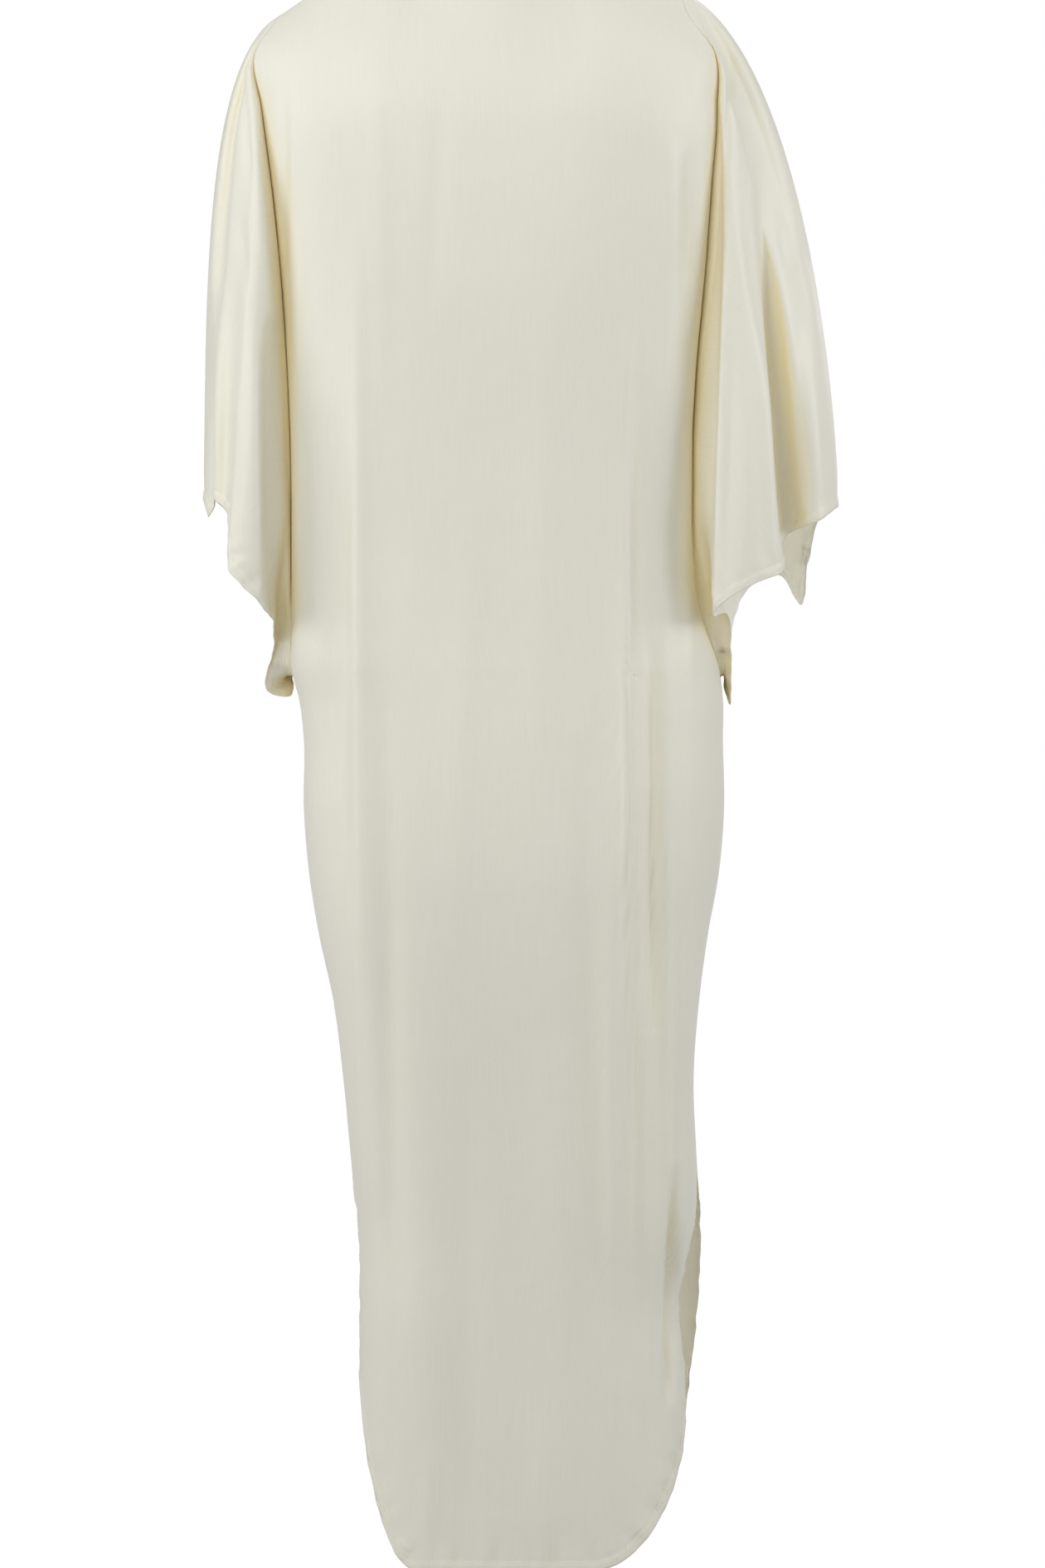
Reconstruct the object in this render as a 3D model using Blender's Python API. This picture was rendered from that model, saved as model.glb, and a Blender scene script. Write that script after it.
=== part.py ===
"""Full-length kaftan in plain ivory cloth, hollow and in its worn shape.

Five cut pieces, each a closed wall of cloth: back, front, two bell sleeves and a neck binding.
Tables and sizes are in millimetres. A drop is measured downwards from the high point of the
shoulder, where the shoulder seam meets the neck. The back faces -Y, and +Z is up. The origin is
where the wearer's shoulders carry the cloth.
"""

import math
from collections import namedtuple

import bmesh
import bpy
import numpy as np

MM = 0.001

# Cloth and seams
WALL = 1.5
SEAM_GAP = 0.3

# The origin lies this far below the high point of the shoulder
ORIGIN_DROP = 20.0

# Lengths down the garment
UNDERARM_DROP = 645.0
SLIT_DROP = 1100.0
BACK_LENGTH = 1427.0
FRONT_LENGTH = 1440.0

# Neckline, a round one, slipped a little to the left with the shoulders
NECK_CENTRE = -22.0
NECK_HALF_WIDTH = 75.0
NECK_BACK_DEPTH = 58.0
NECK_FRONT_DEPTH = 80.0
NECK_BACK_DROP = 24.0
NECK_FRONT_DROP = 92.0
BINDING_HEIGHT = 8.0
BINDING_RINGS = 2

# Section shape: a rounded box, cut short at the armholes and slits by an angle
ROUNDNESS = 2.9
ARMHOLE_ANGLE = math.radians(18.0)
ARMHOLE_CURVE_DROP = 440.0
SLIT_ANGLE = math.radians(6.0)
SLIT_EASE = 220.0

# How far below the shoulder seam the cloth reaches its full depth
BACK_SHOULDER_ROUND = 150.0
FRONT_SHOULDER_ROUND = 170.0

# Mesh rows and columns
ARMHOLE_ROWS = 26
BODY_ROWS = 20
SHOULDER_COLUMNS = 7
BACK_NECK_COLUMNS = 12
FRONT_NECK_COLUMNS = 10
SLEEVE_RINGS = 12
ROW_EASE = 0.55
SHOULDER_COLUMN_CROWD = 1.3
SLEEVE_RING_CROWD = 1.35

# Width at the side seams and depth behind and in front, for each drop
Section = namedtuple("Section", "drop left right back front")
SECTIONS = (
    Section(0, -205, 150, 100, 92),
    Section(57, -206, 155, 102, 96),
    Section(92, -226, 178, 106, 104),
    Section(145, -220, 181, 112, 116),
    Section(213, -211, 176, 116, 126),
    Section(280, -204, 171, 116, 130),
    Section(381, -197, 162, 112, 127),
    Section(466, -194, 158, 109, 122),
    Section(540, -194, 159, 109, 118),
    Section(570, -194, 163, 110, 117),
    Section(600, -194, 171, 111, 116),
    Section(640, -194, 184, 113, 114),
    Section(665, -188, 187, 115, 114),
    Section(700, -184, 187, 118, 113),
    Section(760, -184, 188, 122, 112),
    Section(820, -179, 183, 123, 111),
    Section(870, -171, 174, 121, 109),
    Section(930, -158, 166, 118, 106),
    Section(1000, -149, 161, 113, 103),
    Section(1073, -142, 164, 107, 100),
    Section(1140, -135, 167, 102, 98),
    Section(1220, -134, 163, 98, 96),
    Section(1290, -134, 155, 95, 95),
    Section(1360, -132, 153, 93, 95),
    Section(1440, -130, 151, 92, 95),
)

# The back panel's edge at the right slit swings in, and shows the front panel beyond it
SLIT_SWING = 24.0
SLIT_SWING_DROP = 1195.0
SLIT_SWING_REACH = 62.0

# Shoulder slope: drop = pitch x run + bend x run squared, run measured out from the neck
Shoulder = namedtuple("Shoulder", "pitch bend")
LEFT_SHOULDER = Shoulder(0.218, 0.0030)
RIGHT_SHOULDER = Shoulder(0.228, 0.00148)

# Rounded hem corners, as quarter ellipses
Corner = namedtuple("Corner", "run rise")
BACK_CORNERS = {"left": Corner(42, 165), "right": Corner(78, 125)}
FRONT_CORNERS = {"left": Corner(48, 170), "right": Corner(84, 150)}

# Long soft folds of a panel: where each starts and ends, its half width and its height. They
# fade out towards their ends by a power, and within a third of a quarter turn of a side seam.
FOLD_FADE = 0.7
SEAM_FADE = 3.0
Fold = namedtuple("Fold", "from_drop to_drop from_x to_x half_width height")
BACK_FOLDS = (
    Fold(250, 1120, -136, -126, 15, 5.0),
    Fold(400, 820, -156, -154, 13, -4.0),
    Fold(150, 520, 136, 140, 15, 5.0),
    Fold(340, 1240, 102, 100, 15, 4.5),
    Fold(380, 740, 108, 122, 13, -4.0),
    Fold(640, 960, 124, 128, 15, -5.0),
    Fold(600, 1200, 146, 142, 12, 4.0),
    Fold(640, 1380, -18, -6, 55, -4.0),
    Fold(860, 1400, -84, -66, 22, 4.0),
    Fold(960, 1400, 40, 52, 24, 3.5),
)
FRONT_FOLDS = (
    Fold(330, 1180, -118, -104, 17, 5.5),
    Fold(420, 1000, -146, -132, 14, -4.5),
    Fold(340, 1240, 96, 92, 17, 5.5),
    Fold(420, 980, 130, 122, 14, -4.5),
    Fold(520, 1380, -14, -4, 46, -6.0),
    Fold(640, 1400, -62, -52, 20, 4.5),
    Fold(700, 1400, 40, 46, 20, 4.0),
)

# Hem of a sleeve, once round from the outside of the arm past the back, the underarm and the
# front. The way is the share of the round, and the pull is how stiffly the cloth leaves the
# armhole seam before it falls.
HemPoint = namedtuple("HemPoint", "way x y drop pull")
LEFT_HEM = (
    HemPoint(0.00, -274, 12, 486, 250),
    HemPoint(0.04, -270, -10, 503, 220),
    HemPoint(0.08, -264, -26, 493, 170),
    HemPoint(0.12, -260, -50, 489, 110),
    HemPoint(0.16, -251, -62, 498, 60),
    HemPoint(0.20, -248, -80, 516, 40),
    HemPoint(0.24, -248, -94, 547, 30),
    HemPoint(0.30, -236, -104, 565, 25),
    HemPoint(0.36, -218, -90, 584, 25),
    HemPoint(0.42, -206, -58, 597, 25),
    HemPoint(0.46, -209, -30, 616, 25),
    HemPoint(0.49, -218, -6, 654, 25),
    HemPoint(0.52, -197, 8, 661, 25),
    HemPoint(0.56, -202, 38, 634, 25),
    HemPoint(0.62, -205, 76, 590, 25),
    HemPoint(0.70, -226, 100, 556, 25),
    HemPoint(0.78, -242, 96, 530, 30),
    HemPoint(0.86, -248, 76, 508, 90),
    HemPoint(0.93, -262, 44, 488, 190),
)
RIGHT_HEM = (
    HemPoint(0.00, 290, 5, 492, 320),
    HemPoint(0.06, 284, -40, 497, 250),
    HemPoint(0.12, 268, -64, 509, 130),
    HemPoint(0.17, 246, -48, 518, 60),
    HemPoint(0.21, 238, -66, 536, 40),
    HemPoint(0.25, 238, -88, 551, 30),
    HemPoint(0.31, 213, -104, 564, 25),
    HemPoint(0.38, 186, -98, 580, 25),
    HemPoint(0.42, 178, -78, 592, 25),
    HemPoint(0.45, 191, -50, 592, 25),
    HemPoint(0.48, 194, -22, 638, 25),
    HemPoint(0.50, 194, 0, 667, 25),
    HemPoint(0.53, 191, 24, 652, 25),
    HemPoint(0.57, 194, 50, 620, 25),
    HemPoint(0.62, 202, 78, 582, 25),
    HemPoint(0.69, 222, 100, 556, 25),
    HemPoint(0.75, 244, 102, 553, 30),
    HemPoint(0.80, 260, 90, 578, 70),
    HemPoint(0.85, 264, 76, 556, 120),
    HemPoint(0.92, 277, 48, 512, 220),
)
SLEEVE_FALL = 0.95
SLEEVE_FLARE = 12.0
UNDERARM_PUSH = 20.0
SLEEVE_LIFT = 140.0

# Rows repeated at each end of a hem table, so that a curve through it closes smoothly
HEM_WRAPS = 3

# The deep lower half of an armhole feeds only the innermost stretch of the hem
WAY_CROWD = 0.55

# Finish
IVORY = (0.79, 0.76, 0.68, 1.0)
ROUGHNESS = 0.55


def along(xs, ys, at):
    """Smooth curve through a table's points, read at one or many places."""
    xs = np.asarray(xs, dtype=float)
    ys = np.asarray(ys, dtype=float)
    slopes = np.gradient(ys, xs)
    at = np.clip(at, xs[0], xs[-1])
    left = np.clip(np.searchsorted(xs, at, side="right") - 1, 0, len(xs) - 2)
    span = xs[left + 1] - xs[left]
    t = (at - xs[left]) / span
    start = ys[left] * (1 + 2 * t) * (1 - t) ** 2 + slopes[left] * span * t * (1 - t) ** 2
    end = ys[left + 1] * t * t * (3 - 2 * t) + slopes[left + 1] * span * t * t * (t - 1)
    return start + end


def section(column, drop):
    """One column of the section table, read at a drop."""
    return along([row.drop for row in SECTIONS], [getattr(row, column) for row in SECTIONS], drop)


def around(rows, column, way):
    """One column of a hem table, read round the closed hem."""
    ways = [row.way for row in rows]
    values = [getattr(row, column) for row in rows]
    ways = [w - 1 for w in ways[-HEM_WRAPS:]] + ways + [w + 1 for w in ways[:HEM_WRAPS]]
    values = values[-HEM_WRAPS:] + values + values[:HEM_WRAPS]
    return along(ways, values, way)


def ease(value):
    """Smooth step from 0 to 1."""
    value = np.clip(value, 0.0, 1.0)
    return value * value * (3.0 - 2.0 * value)


def signed_power(value, power):
    """Power that keeps the sign."""
    return np.sign(value) * np.abs(value) ** power


def unit(vectors):
    """Vectors of length one."""
    return vectors / np.linalg.norm(vectors, axis=-1, keepdims=True)


def edge_angle(drop):
    """Angle that a section stops short of the side: at the armhole and again at the slit."""
    past_curve = (drop - ARMHOLE_CURVE_DROP) / (UNDERARM_DROP - ARMHOLE_CURVE_DROP)
    armhole = ARMHOLE_ANGLE * np.sqrt(1.0 - np.clip(past_curve, 0.0, 1.0) ** 2)
    slit = SLIT_ANGLE * ease((drop - SLIT_DROP) / SLIT_EASE)
    return armhole + slit


def top_drop(x, neck_drop):
    """Drop of the neckline or of the shoulder seam over a place across the garment."""
    run = np.abs(x - NECK_CENTRE) / NECK_HALF_WIDTH
    neck = neck_drop * np.sqrt(np.clip(1.0 - run**2, 0.0, 1.0))
    out = np.clip(np.abs(x - NECK_CENTRE) - NECK_HALF_WIDTH, 0.0, None)
    left = LEFT_SHOULDER.pitch * out + LEFT_SHOULDER.bend * out**2
    right = RIGHT_SHOULDER.pitch * out + RIGHT_SHOULDER.bend * out**2
    return neck + np.where(x < NECK_CENTRE, left, right)


def hem_drop(x, left_edge, right_edge, length, corners):
    """Drop of the hem: level in the middle, with a quarter ellipse up to each slit."""
    left = corners["left"]
    right = corners["right"]
    into_left = np.clip((left_edge + left.run - x) / left.run, 0.0, 1.0)
    into_right = np.clip((x - right_edge + right.run) / right.run, 0.0, 1.0)
    left_rise = left.rise * (1.0 - np.sqrt(1.0 - into_left**2))
    right_rise = right.rise * (1.0 - np.sqrt(1.0 - into_right**2))
    return length - left_rise - right_rise


def column_places(neck_columns):
    """Places across the top edge: the left shoulder, the neck and the right shoulder."""
    left_end = NECK_CENTRE - NECK_HALF_WIDTH
    right_end = NECK_CENTRE + NECK_HALF_WIDTH
    share = np.linspace(0.0, 1.0, SHOULDER_COLUMNS + 1) ** SHOULDER_COLUMN_CROWD
    left = SECTIONS[0].left + share * (left_end - SECTIONS[0].left)
    right = SECTIONS[0].right + share * (right_end - SECTIONS[0].right)
    neck = NECK_CENTRE - NECK_HALF_WIDTH * np.cos(np.linspace(0.0, math.pi, neck_columns + 1))
    return np.concatenate([left, neck[1:-1], right[::-1]])


def row_shares():
    """Shares of the way from the top edge to the underarm, and from there to the hem."""
    step = np.linspace(0.0, 1.0, ARMHOLE_ROWS + 1)
    eased = ROW_EASE * (0.5 - 0.5 * np.cos(math.pi * step)) + (1.0 - ROW_EASE) * step
    upper = np.concatenate([eased, np.ones(BODY_ROWS)])
    lower = np.concatenate([np.zeros(ARMHOLE_ROWS + 1), np.arange(1, BODY_ROWS + 1) / BODY_ROWS])
    return upper[:, None], lower[:, None]


def fold_heights(x, drop, folds):
    """Height of all the folds of a panel, at each of its points."""
    height = np.zeros_like(x)
    for fold in folds:
        share = (drop - fold.from_drop) / (fold.to_drop - fold.from_drop)
        middle = fold.from_x + (fold.to_x - fold.from_x) * np.clip(share, 0.0, 1.0)
        fade = np.sin(math.pi * np.clip(share, 0.0, 1.0)) ** FOLD_FADE
        height += fold.height * fade * np.exp(-(((x - middle) / fold.half_width) ** 2))
    return height


def grid_normals(grid, outward, closed=False):
    """Unit normals of a grid of points, on the side that faces away from the body."""
    down = np.gradient(grid, axis=0)
    if closed:
        across = (np.roll(grid, -1, axis=1) - np.roll(grid, 1, axis=1)) / 2.0
    else:
        across = np.gradient(grid, axis=1)
    normals = unit(np.cross(down, across))
    if np.mean(np.sum(normals * outward, axis=-1)) < 0.0:
        normals = -normals
    return normals


def level_at_seams(normals, drop):
    """Normals with no lean across the shoulder and side seams, so that two walls meet squarely."""
    level = normals.copy()
    level[0, :, 1] = 0.0
    for edge in (0, -1):
        seam = np.arange(ARMHOLE_ROWS, len(normals))
        seam = seam[drop[seam, edge] < SLIT_DROP]
        level[seam, edge, 1] = 0.0
    return unit(level)


def panel(side, length, corners, folds, neck_columns, neck_depth, neck_drop, shoulder_round):
    """Outer points and normals of the back or the front, row by row from the top edge."""
    sign = -1.0 if side == "back" else 1.0
    places = column_places(neck_columns)
    top = top_drop(places, neck_drop)
    run = (places - NECK_CENTRE) / NECK_HALF_WIDTH
    top_depth = neck_depth * np.sqrt(np.clip(1.0 - run**2, 0.0, 1.0))

    # Each column keeps one share of the section's angle from the left edge to the right edge
    power = 2.0 / ROUNDNESS
    middle = (SECTIONS[0].left + SECTIONS[0].right) / 2.0
    half = (SECTIONS[0].right - SECTIONS[0].left) / 2.0
    reach = (places - middle) / half * math.cos(ARMHOLE_ANGLE) ** power
    angle = np.arccos(np.clip(-signed_power(reach, 1.0 / power), -1.0, 1.0))
    share = (angle - ARMHOLE_ANGLE) / (math.pi - 2.0 * ARMHOLE_ANGLE)

    # The hem is read at the columns' places at the level of the rounded corners
    low_edges = (section("left", length), section("right", length))
    low_middle = sum(low_edges) / 2.0
    low_half = (low_edges[1] - low_edges[0]) / 2.0
    low_place = low_middle - low_half * signed_power(np.cos(share * math.pi), power)
    bottom = hem_drop(low_place, low_edges[0], low_edges[1], length, corners)

    upper, lower = row_shares()
    drop = top + (UNDERARM_DROP - top) * upper + (bottom - UNDERARM_DROP) * lower
    stop = edge_angle(drop)
    angle = stop + (math.pi - 2.0 * stop) * share
    left = section("left", drop)
    right = section("right", drop)
    if side == "back":
        swing = (drop - SLIT_SWING_DROP) / SLIT_SWING_REACH
        right = right - SLIT_SWING * np.exp(-(swing**2))
    middle = (left + right) / 2.0
    half = (right - left) / 2.0 / np.cos(stop) ** power
    x = middle - half * signed_power(np.cos(angle), power)
    depth = section(side, drop) * np.sin(angle) ** power
    into_round = 1.0 - np.clip((drop - top) / shoulder_round, 0.0, 1.0)
    risen = np.sqrt(1.0 - into_round**2)
    depth = top_depth + (depth - top_depth) * risen
    y = sign * (SEAM_GAP / 2.0 + depth)
    flat = np.stack([x, y, -drop], axis=-1)

    # Folds lift the cloth off that plain form, and die away at the seams
    outward = flat * (1.0, 1.0, 0.0)
    normals = grid_normals(flat, outward)
    fade = np.clip(np.sin(math.pi * share) * SEAM_FADE, 0.0, 1.0)
    folded = flat + normals * (fold_heights(x, drop, folds) * fade)[..., None]
    normals = level_at_seams(grid_normals(folded, outward), drop)
    return folded, normals


def armhole_ring(edge, back, front):
    """Seam points, normals and outward directions once round an armhole.

    The ring starts at the shoulder, and runs down the back and up the front. Its points lie a
    seam gap off the panels' own edge points.
    """
    sides = []
    for points, normals in (back, front):
        line = points[: ARMHOLE_ROWS + 1, edge]
        facing = normals[: ARMHOLE_ROWS + 1, edge]
        away = line - points[: ARMHOLE_ROWS + 1, 1 if edge == 0 else -2]
        out = unit(np.cross(np.gradient(line, axis=0), facing))
        out = out * np.sign(np.sum(out * away, axis=-1, keepdims=True))
        sides.append((line, facing, out))
    rings = []
    for behind, ahead in zip(sides[0], sides[1]):
        first = (behind[:1] + ahead[:1]) / 2.0
        last = (behind[-1:] + ahead[-1:]) / 2.0
        rings.append(np.concatenate([first, behind[1:-1], last, ahead[-2:0:-1]]))
    line = rings[0]
    facing = unit(rings[1])
    out = unit(rings[2])
    return line + out * SEAM_GAP, facing, out


def ring_ways(line):
    """Share of the way round for each point of an armhole ring, half of it on each side."""
    steps = np.linalg.norm(np.roll(line, -1, axis=0) - line, axis=-1)
    behind = np.cumsum(steps[:ARMHOLE_ROWS])
    ahead = np.cumsum(steps[ARMHOLE_ROWS:])
    first = np.concatenate([[0.0], behind / behind[-1]]) ** WAY_CROWD
    second = (1.0 - ahead[:-1] / ahead[-1]) ** WAY_CROWD
    return np.concatenate([first * 0.5, 1.0 - second * 0.5])


def sleeve(edge, hem, back, front):
    """Outer points and normals of a sleeve, ring by ring from the armhole to the hem."""
    start, facing, out = armhole_ring(edge, back, front)
    way = ring_ways(start)
    end = np.stack([around(hem, "x", way), around(hem, "y", way), -around(hem, "drop", way)], -1)
    pull = around(hem, "pull", way)[:, None]
    side = -1.0 if edge == 0 else 1.0

    # Beside the seam the cloth stands up behind and in front, which leaves a deep valley there,
    # and under the arm it is pushed out, so that the fold stays open
    across = -np.sin(2.0 * math.pi * way)[:, None]
    under = np.clip(-np.cos(2.0 * math.pi * way), 0.0, 1.0)[:, None]
    leave = out * pull + across * np.array([0.0, SLEEVE_LIFT, 0.0])
    leave = leave + under * np.array([side * UNDERARM_PUSH, 0.0, 0.0])
    fall = SLEEVE_FALL * (start[:, 2:] - end[:, 2:])
    arrive = np.concatenate([np.full_like(fall, side * SLEEVE_FLARE), 0.0 * fall, -fall], axis=1)

    t = (np.linspace(0.0, 1.0, SLEEVE_RINGS + 1) ** SLEEVE_RING_CROWD)[:, None, None]
    rings = (1 + 2 * t) * (1 - t) ** 2 * start + t * (1 - t) ** 2 * leave
    rings = rings + t * t * (3 - 2 * t) * end + t * t * (t - 1) * arrive
    outward = rings - rings.mean(axis=1, keepdims=True)
    normals = grid_normals(rings, outward, closed=True)
    normals[0] = facing
    return rings, normals


def neck_ring(back, front):
    """Outer points and normals once round the neckline, along both panels' top edges."""
    neck_back = slice(SHOULDER_COLUMNS, SHOULDER_COLUMNS + BACK_NECK_COLUMNS + 1)
    neck_front = slice(SHOULDER_COLUMNS, SHOULDER_COLUMNS + FRONT_NECK_COLUMNS + 1)
    behind = back[0][0, neck_back]
    ahead = front[0][0, neck_front]
    left = (behind[:1] + ahead[:1]) / 2.0
    right = (behind[-1:] + ahead[-1:]) / 2.0
    return np.concatenate([left, behind[1:-1], right, ahead[-2:0:-1]])


def binding(back, front):
    """Outer points and normals of the neck binding, a narrow band that stands on the neckline."""
    base = neck_ring(back, front) + np.array([0.0, 0.0, SEAM_GAP])
    middle = base.mean(axis=0) * (1.0, 1.0, 0.0)
    outward = unit((base - middle) * (1.0, 1.0, 0.0))
    heights = np.linspace(0.0, BINDING_HEIGHT, BINDING_RINGS + 1)[:, None, None]
    rings = base + heights * np.array([0.0, 0.0, 1.0])
    return rings, np.broadcast_to(outward, rings.shape)


def wall(name, points, normals, material, closed=False):
    """A closed wall of cloth: the outer points, and the same points moved in by its thickness."""
    inner = points - normals * WALL
    rows, columns = points.shape[:2]
    offset = np.array([0.0, 0.0, ORIGIN_DROP])
    mesh = bmesh.new()
    layers = []
    for layer in (points, inner):
        world = (layer + offset) * MM
        layers.append([[mesh.verts.new(point) for point in row] for row in world])
    outer, inside = layers
    last = columns if closed else columns - 1
    for row in range(rows - 1):
        for column in range(last):
            beside = (column + 1) % columns
            for layer in layers:
                corners = (layer[row][column], layer[row][beside])
                corners = corners + (layer[row + 1][beside], layer[row + 1][column])
                mesh.faces.new(corners)
    for row in (0, rows - 1):
        for column in range(last):
            beside = (column + 1) % columns
            corners = (outer[row][column], outer[row][beside])
            mesh.faces.new(corners + (inside[row][beside], inside[row][column]))
    if not closed:
        for column in (0, columns - 1):
            for row in range(rows - 1):
                corners = (outer[row][column], outer[row + 1][column])
                mesh.faces.new(corners + (inside[row + 1][column], inside[row][column]))
    bmesh.ops.recalc_face_normals(mesh, faces=mesh.faces)
    bmesh.ops.triangulate(mesh, faces=mesh.faces)
    data = bpy.data.meshes.new(name)
    mesh.to_mesh(data)
    mesh.free()
    data.shade_smooth()
    data.materials.append(material)
    return bpy.data.objects.new(name, data)


def cloth(name):
    """Plain ivory cloth for one piece."""
    material = bpy.data.materials.new(name)
    material.use_nodes = True
    shader = material.node_tree.nodes["Principled BSDF"]
    shader.inputs["Base Color"].default_value = IVORY
    shader.inputs["Roughness"].default_value = ROUGHNESS
    shader.inputs["Metallic"].default_value = 0.0
    return material


def build():
    """Clear the scene and build the five pieces of the kaftan."""
    for existing in list(bpy.data.objects):
        bpy.data.objects.remove(existing, do_unlink=True)
    garment = bpy.data.collections.new("kaftan")
    bpy.context.scene.collection.children.link(garment)

    back = panel("back", BACK_LENGTH, BACK_CORNERS, BACK_FOLDS, BACK_NECK_COLUMNS,
                 NECK_BACK_DEPTH, NECK_BACK_DROP, BACK_SHOULDER_ROUND)
    front = panel("front", FRONT_LENGTH, FRONT_CORNERS, FRONT_FOLDS, FRONT_NECK_COLUMNS,
                  NECK_FRONT_DEPTH, NECK_FRONT_DROP, FRONT_SHOULDER_ROUND)
    pieces = {
        "back_panel": wall("back_panel", *back, cloth("back_cloth")),
        "front_panel": wall("front_panel", *front, cloth("front_cloth")),
        "left_sleeve": wall("left_sleeve", *sleeve(0, LEFT_HEM, back, front),
                            cloth("left_sleeve_cloth"), closed=True),
        "right_sleeve": wall("right_sleeve", *sleeve(-1, RIGHT_HEM, back, front),
                             cloth("right_sleeve_cloth"), closed=True),
        "neck_binding": wall("neck_binding", *binding(back, front),
                             cloth("binding_cloth"), closed=True),
    }
    for piece in pieces.values():
        garment.objects.link(piece)


build()
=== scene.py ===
"""Looks of a full-length ivory kaftan: thin cloth shells, turned hems and stitches on a fixed frame.

Tables and sizes are in millimetres, as the maker's are. A drop is measured down from the high
point of the shoulder. The back faces -Y, the right sleeve is at +X, and +Z is up.
"""

import logging
import math
from dataclasses import dataclass
from enum import Enum
from typing import Iterable, NamedTuple, Sequence

import bpy
import numpy as np
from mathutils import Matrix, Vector
from mathutils.kdtree import KDTree


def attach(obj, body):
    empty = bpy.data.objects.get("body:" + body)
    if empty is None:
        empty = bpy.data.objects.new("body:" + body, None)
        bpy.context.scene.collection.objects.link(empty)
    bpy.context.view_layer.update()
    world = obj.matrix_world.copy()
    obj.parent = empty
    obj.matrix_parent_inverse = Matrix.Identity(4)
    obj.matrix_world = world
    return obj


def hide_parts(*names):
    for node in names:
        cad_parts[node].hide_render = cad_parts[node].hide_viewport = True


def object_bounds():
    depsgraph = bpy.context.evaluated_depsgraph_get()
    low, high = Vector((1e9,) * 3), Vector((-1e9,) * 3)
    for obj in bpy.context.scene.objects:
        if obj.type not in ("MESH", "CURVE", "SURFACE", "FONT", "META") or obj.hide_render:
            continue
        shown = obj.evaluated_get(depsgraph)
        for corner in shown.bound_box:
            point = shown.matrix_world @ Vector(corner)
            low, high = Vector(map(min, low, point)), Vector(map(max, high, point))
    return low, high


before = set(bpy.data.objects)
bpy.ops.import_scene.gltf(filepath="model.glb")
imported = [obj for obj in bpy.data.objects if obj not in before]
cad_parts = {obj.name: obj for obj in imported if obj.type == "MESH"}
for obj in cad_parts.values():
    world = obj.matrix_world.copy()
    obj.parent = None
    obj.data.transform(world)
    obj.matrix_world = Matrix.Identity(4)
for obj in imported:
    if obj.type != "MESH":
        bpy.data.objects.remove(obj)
CAD_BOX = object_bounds()

LOG = logging.getLogger("kaftan")
MM = 0.001
BODY = "root"

# The frame's origin lies this far below the high point of the shoulder
ORIGIN_DROP = 20.0
# How fast a fold fades out towards its two ends: below 1, it stays full for longer
FOLD_FADE = 0.7
# Shortest length that still counts when a direction is worked out
SHORTEST = 1e-9


class Side(Enum):
    """The two body panels, by the way they face."""

    BACK = -1.0
    FRONT = 1.0


class Hand(Enum):
    """The two sleeves, by the side of the body they hang on."""

    LEFT = -1.0
    RIGHT = 1.0


class Section(NamedTuple):
    """Width at the side seams and depth behind and in front, at one drop."""

    drop: float
    left: float
    right: float
    back: float
    front: float


class Fold(NamedTuple):
    """A long soft fold of the cloth: where it runs, its half width and its height."""

    from_drop: float
    to_drop: float
    from_x: float
    to_x: float
    half_width: float
    height: float


class HemPoint(NamedTuple):
    """One place on a sleeve hem, and how stiffly the cloth leaves the armhole above it."""

    way: float
    x: float
    y: float
    drop: float
    pull: float


class Corner(NamedTuple):
    """A rounded hem corner, as a quarter ellipse."""

    run: float
    rise: float


class Shoulder(NamedTuple):
    """Slope of a shoulder seam: drop = pitch x run + bend x run squared."""

    pitch: float
    bend: float


class Cut(NamedTuple):
    """A piece laid flat: its width and length in metres and its area in square metres."""

    width: float
    length: float
    area: float


class Lamp(NamedTuple):
    """A square soft light: where it stands and points in metres, its side, power and colour."""

    name: str
    place: tuple[float, float, float]
    aim: tuple[float, float, float]
    size: float
    watts: float
    colour: str


def linear(value: str) -> tuple[float, float, float, float]:
    """Turn an sRGB hex colour into a linear one.

    Args:
        value: six hex digits, such as "e6e2d6".

    Returns:
        Linear red, green, blue and an alpha of 1.
    """
    parts = [int(value[i:i + 2], 16) / 255.0 for i in (0, 2, 4)]
    turned = [c / 12.92 if c <= 0.04045 else ((c + 0.055) / 1.055) ** 2.4 for c in parts]
    return (turned[0], turned[1], turned[2], 1.0)


def along(xs: Sequence[float], ys: Sequence[float], at: np.ndarray) -> np.ndarray:
    """Read a smooth curve through a table's points.

    Args:
        xs: rising places of the table's rows.
        ys: values of the rows.
        at: the places to read.

    Returns:
        A value for each place.
    """
    places = np.asarray(xs, dtype=float)
    values = np.asarray(ys, dtype=float)
    slopes = np.gradient(values, places)
    at = np.clip(at, places[0], places[-1])
    left = np.clip(np.searchsorted(places, at, side="right") - 1, 0, len(places) - 2)
    span = places[left + 1] - places[left]
    t = (at - places[left]) / span
    start = values[left] * (1 + 2 * t) * (1 - t) ** 2 + slopes[left] * span * t * (1 - t) ** 2
    end = values[left + 1] * t * t * (3 - 2 * t) + slopes[left + 1] * span * t * t * (t - 1)
    return start + end


def ease(value: np.ndarray) -> np.ndarray:
    """Step smoothly from 0 to 1.

    Args:
        value: how far along the step, 0 at its start and 1 at its end.

    Returns:
        The eased share, from 0 to 1.
    """
    value = np.clip(value, 0.0, 1.0)
    return value * value * (3.0 - 2.0 * value)


def signed_power(value: np.ndarray, power: float) -> np.ndarray:
    """Raise to a power and keep the sign.

    Args:
        value: the values.
        power: the power of their sizes.

    Returns:
        The raised values, each with its own sign.
    """
    return np.sign(value) * np.abs(value) ** power


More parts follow.
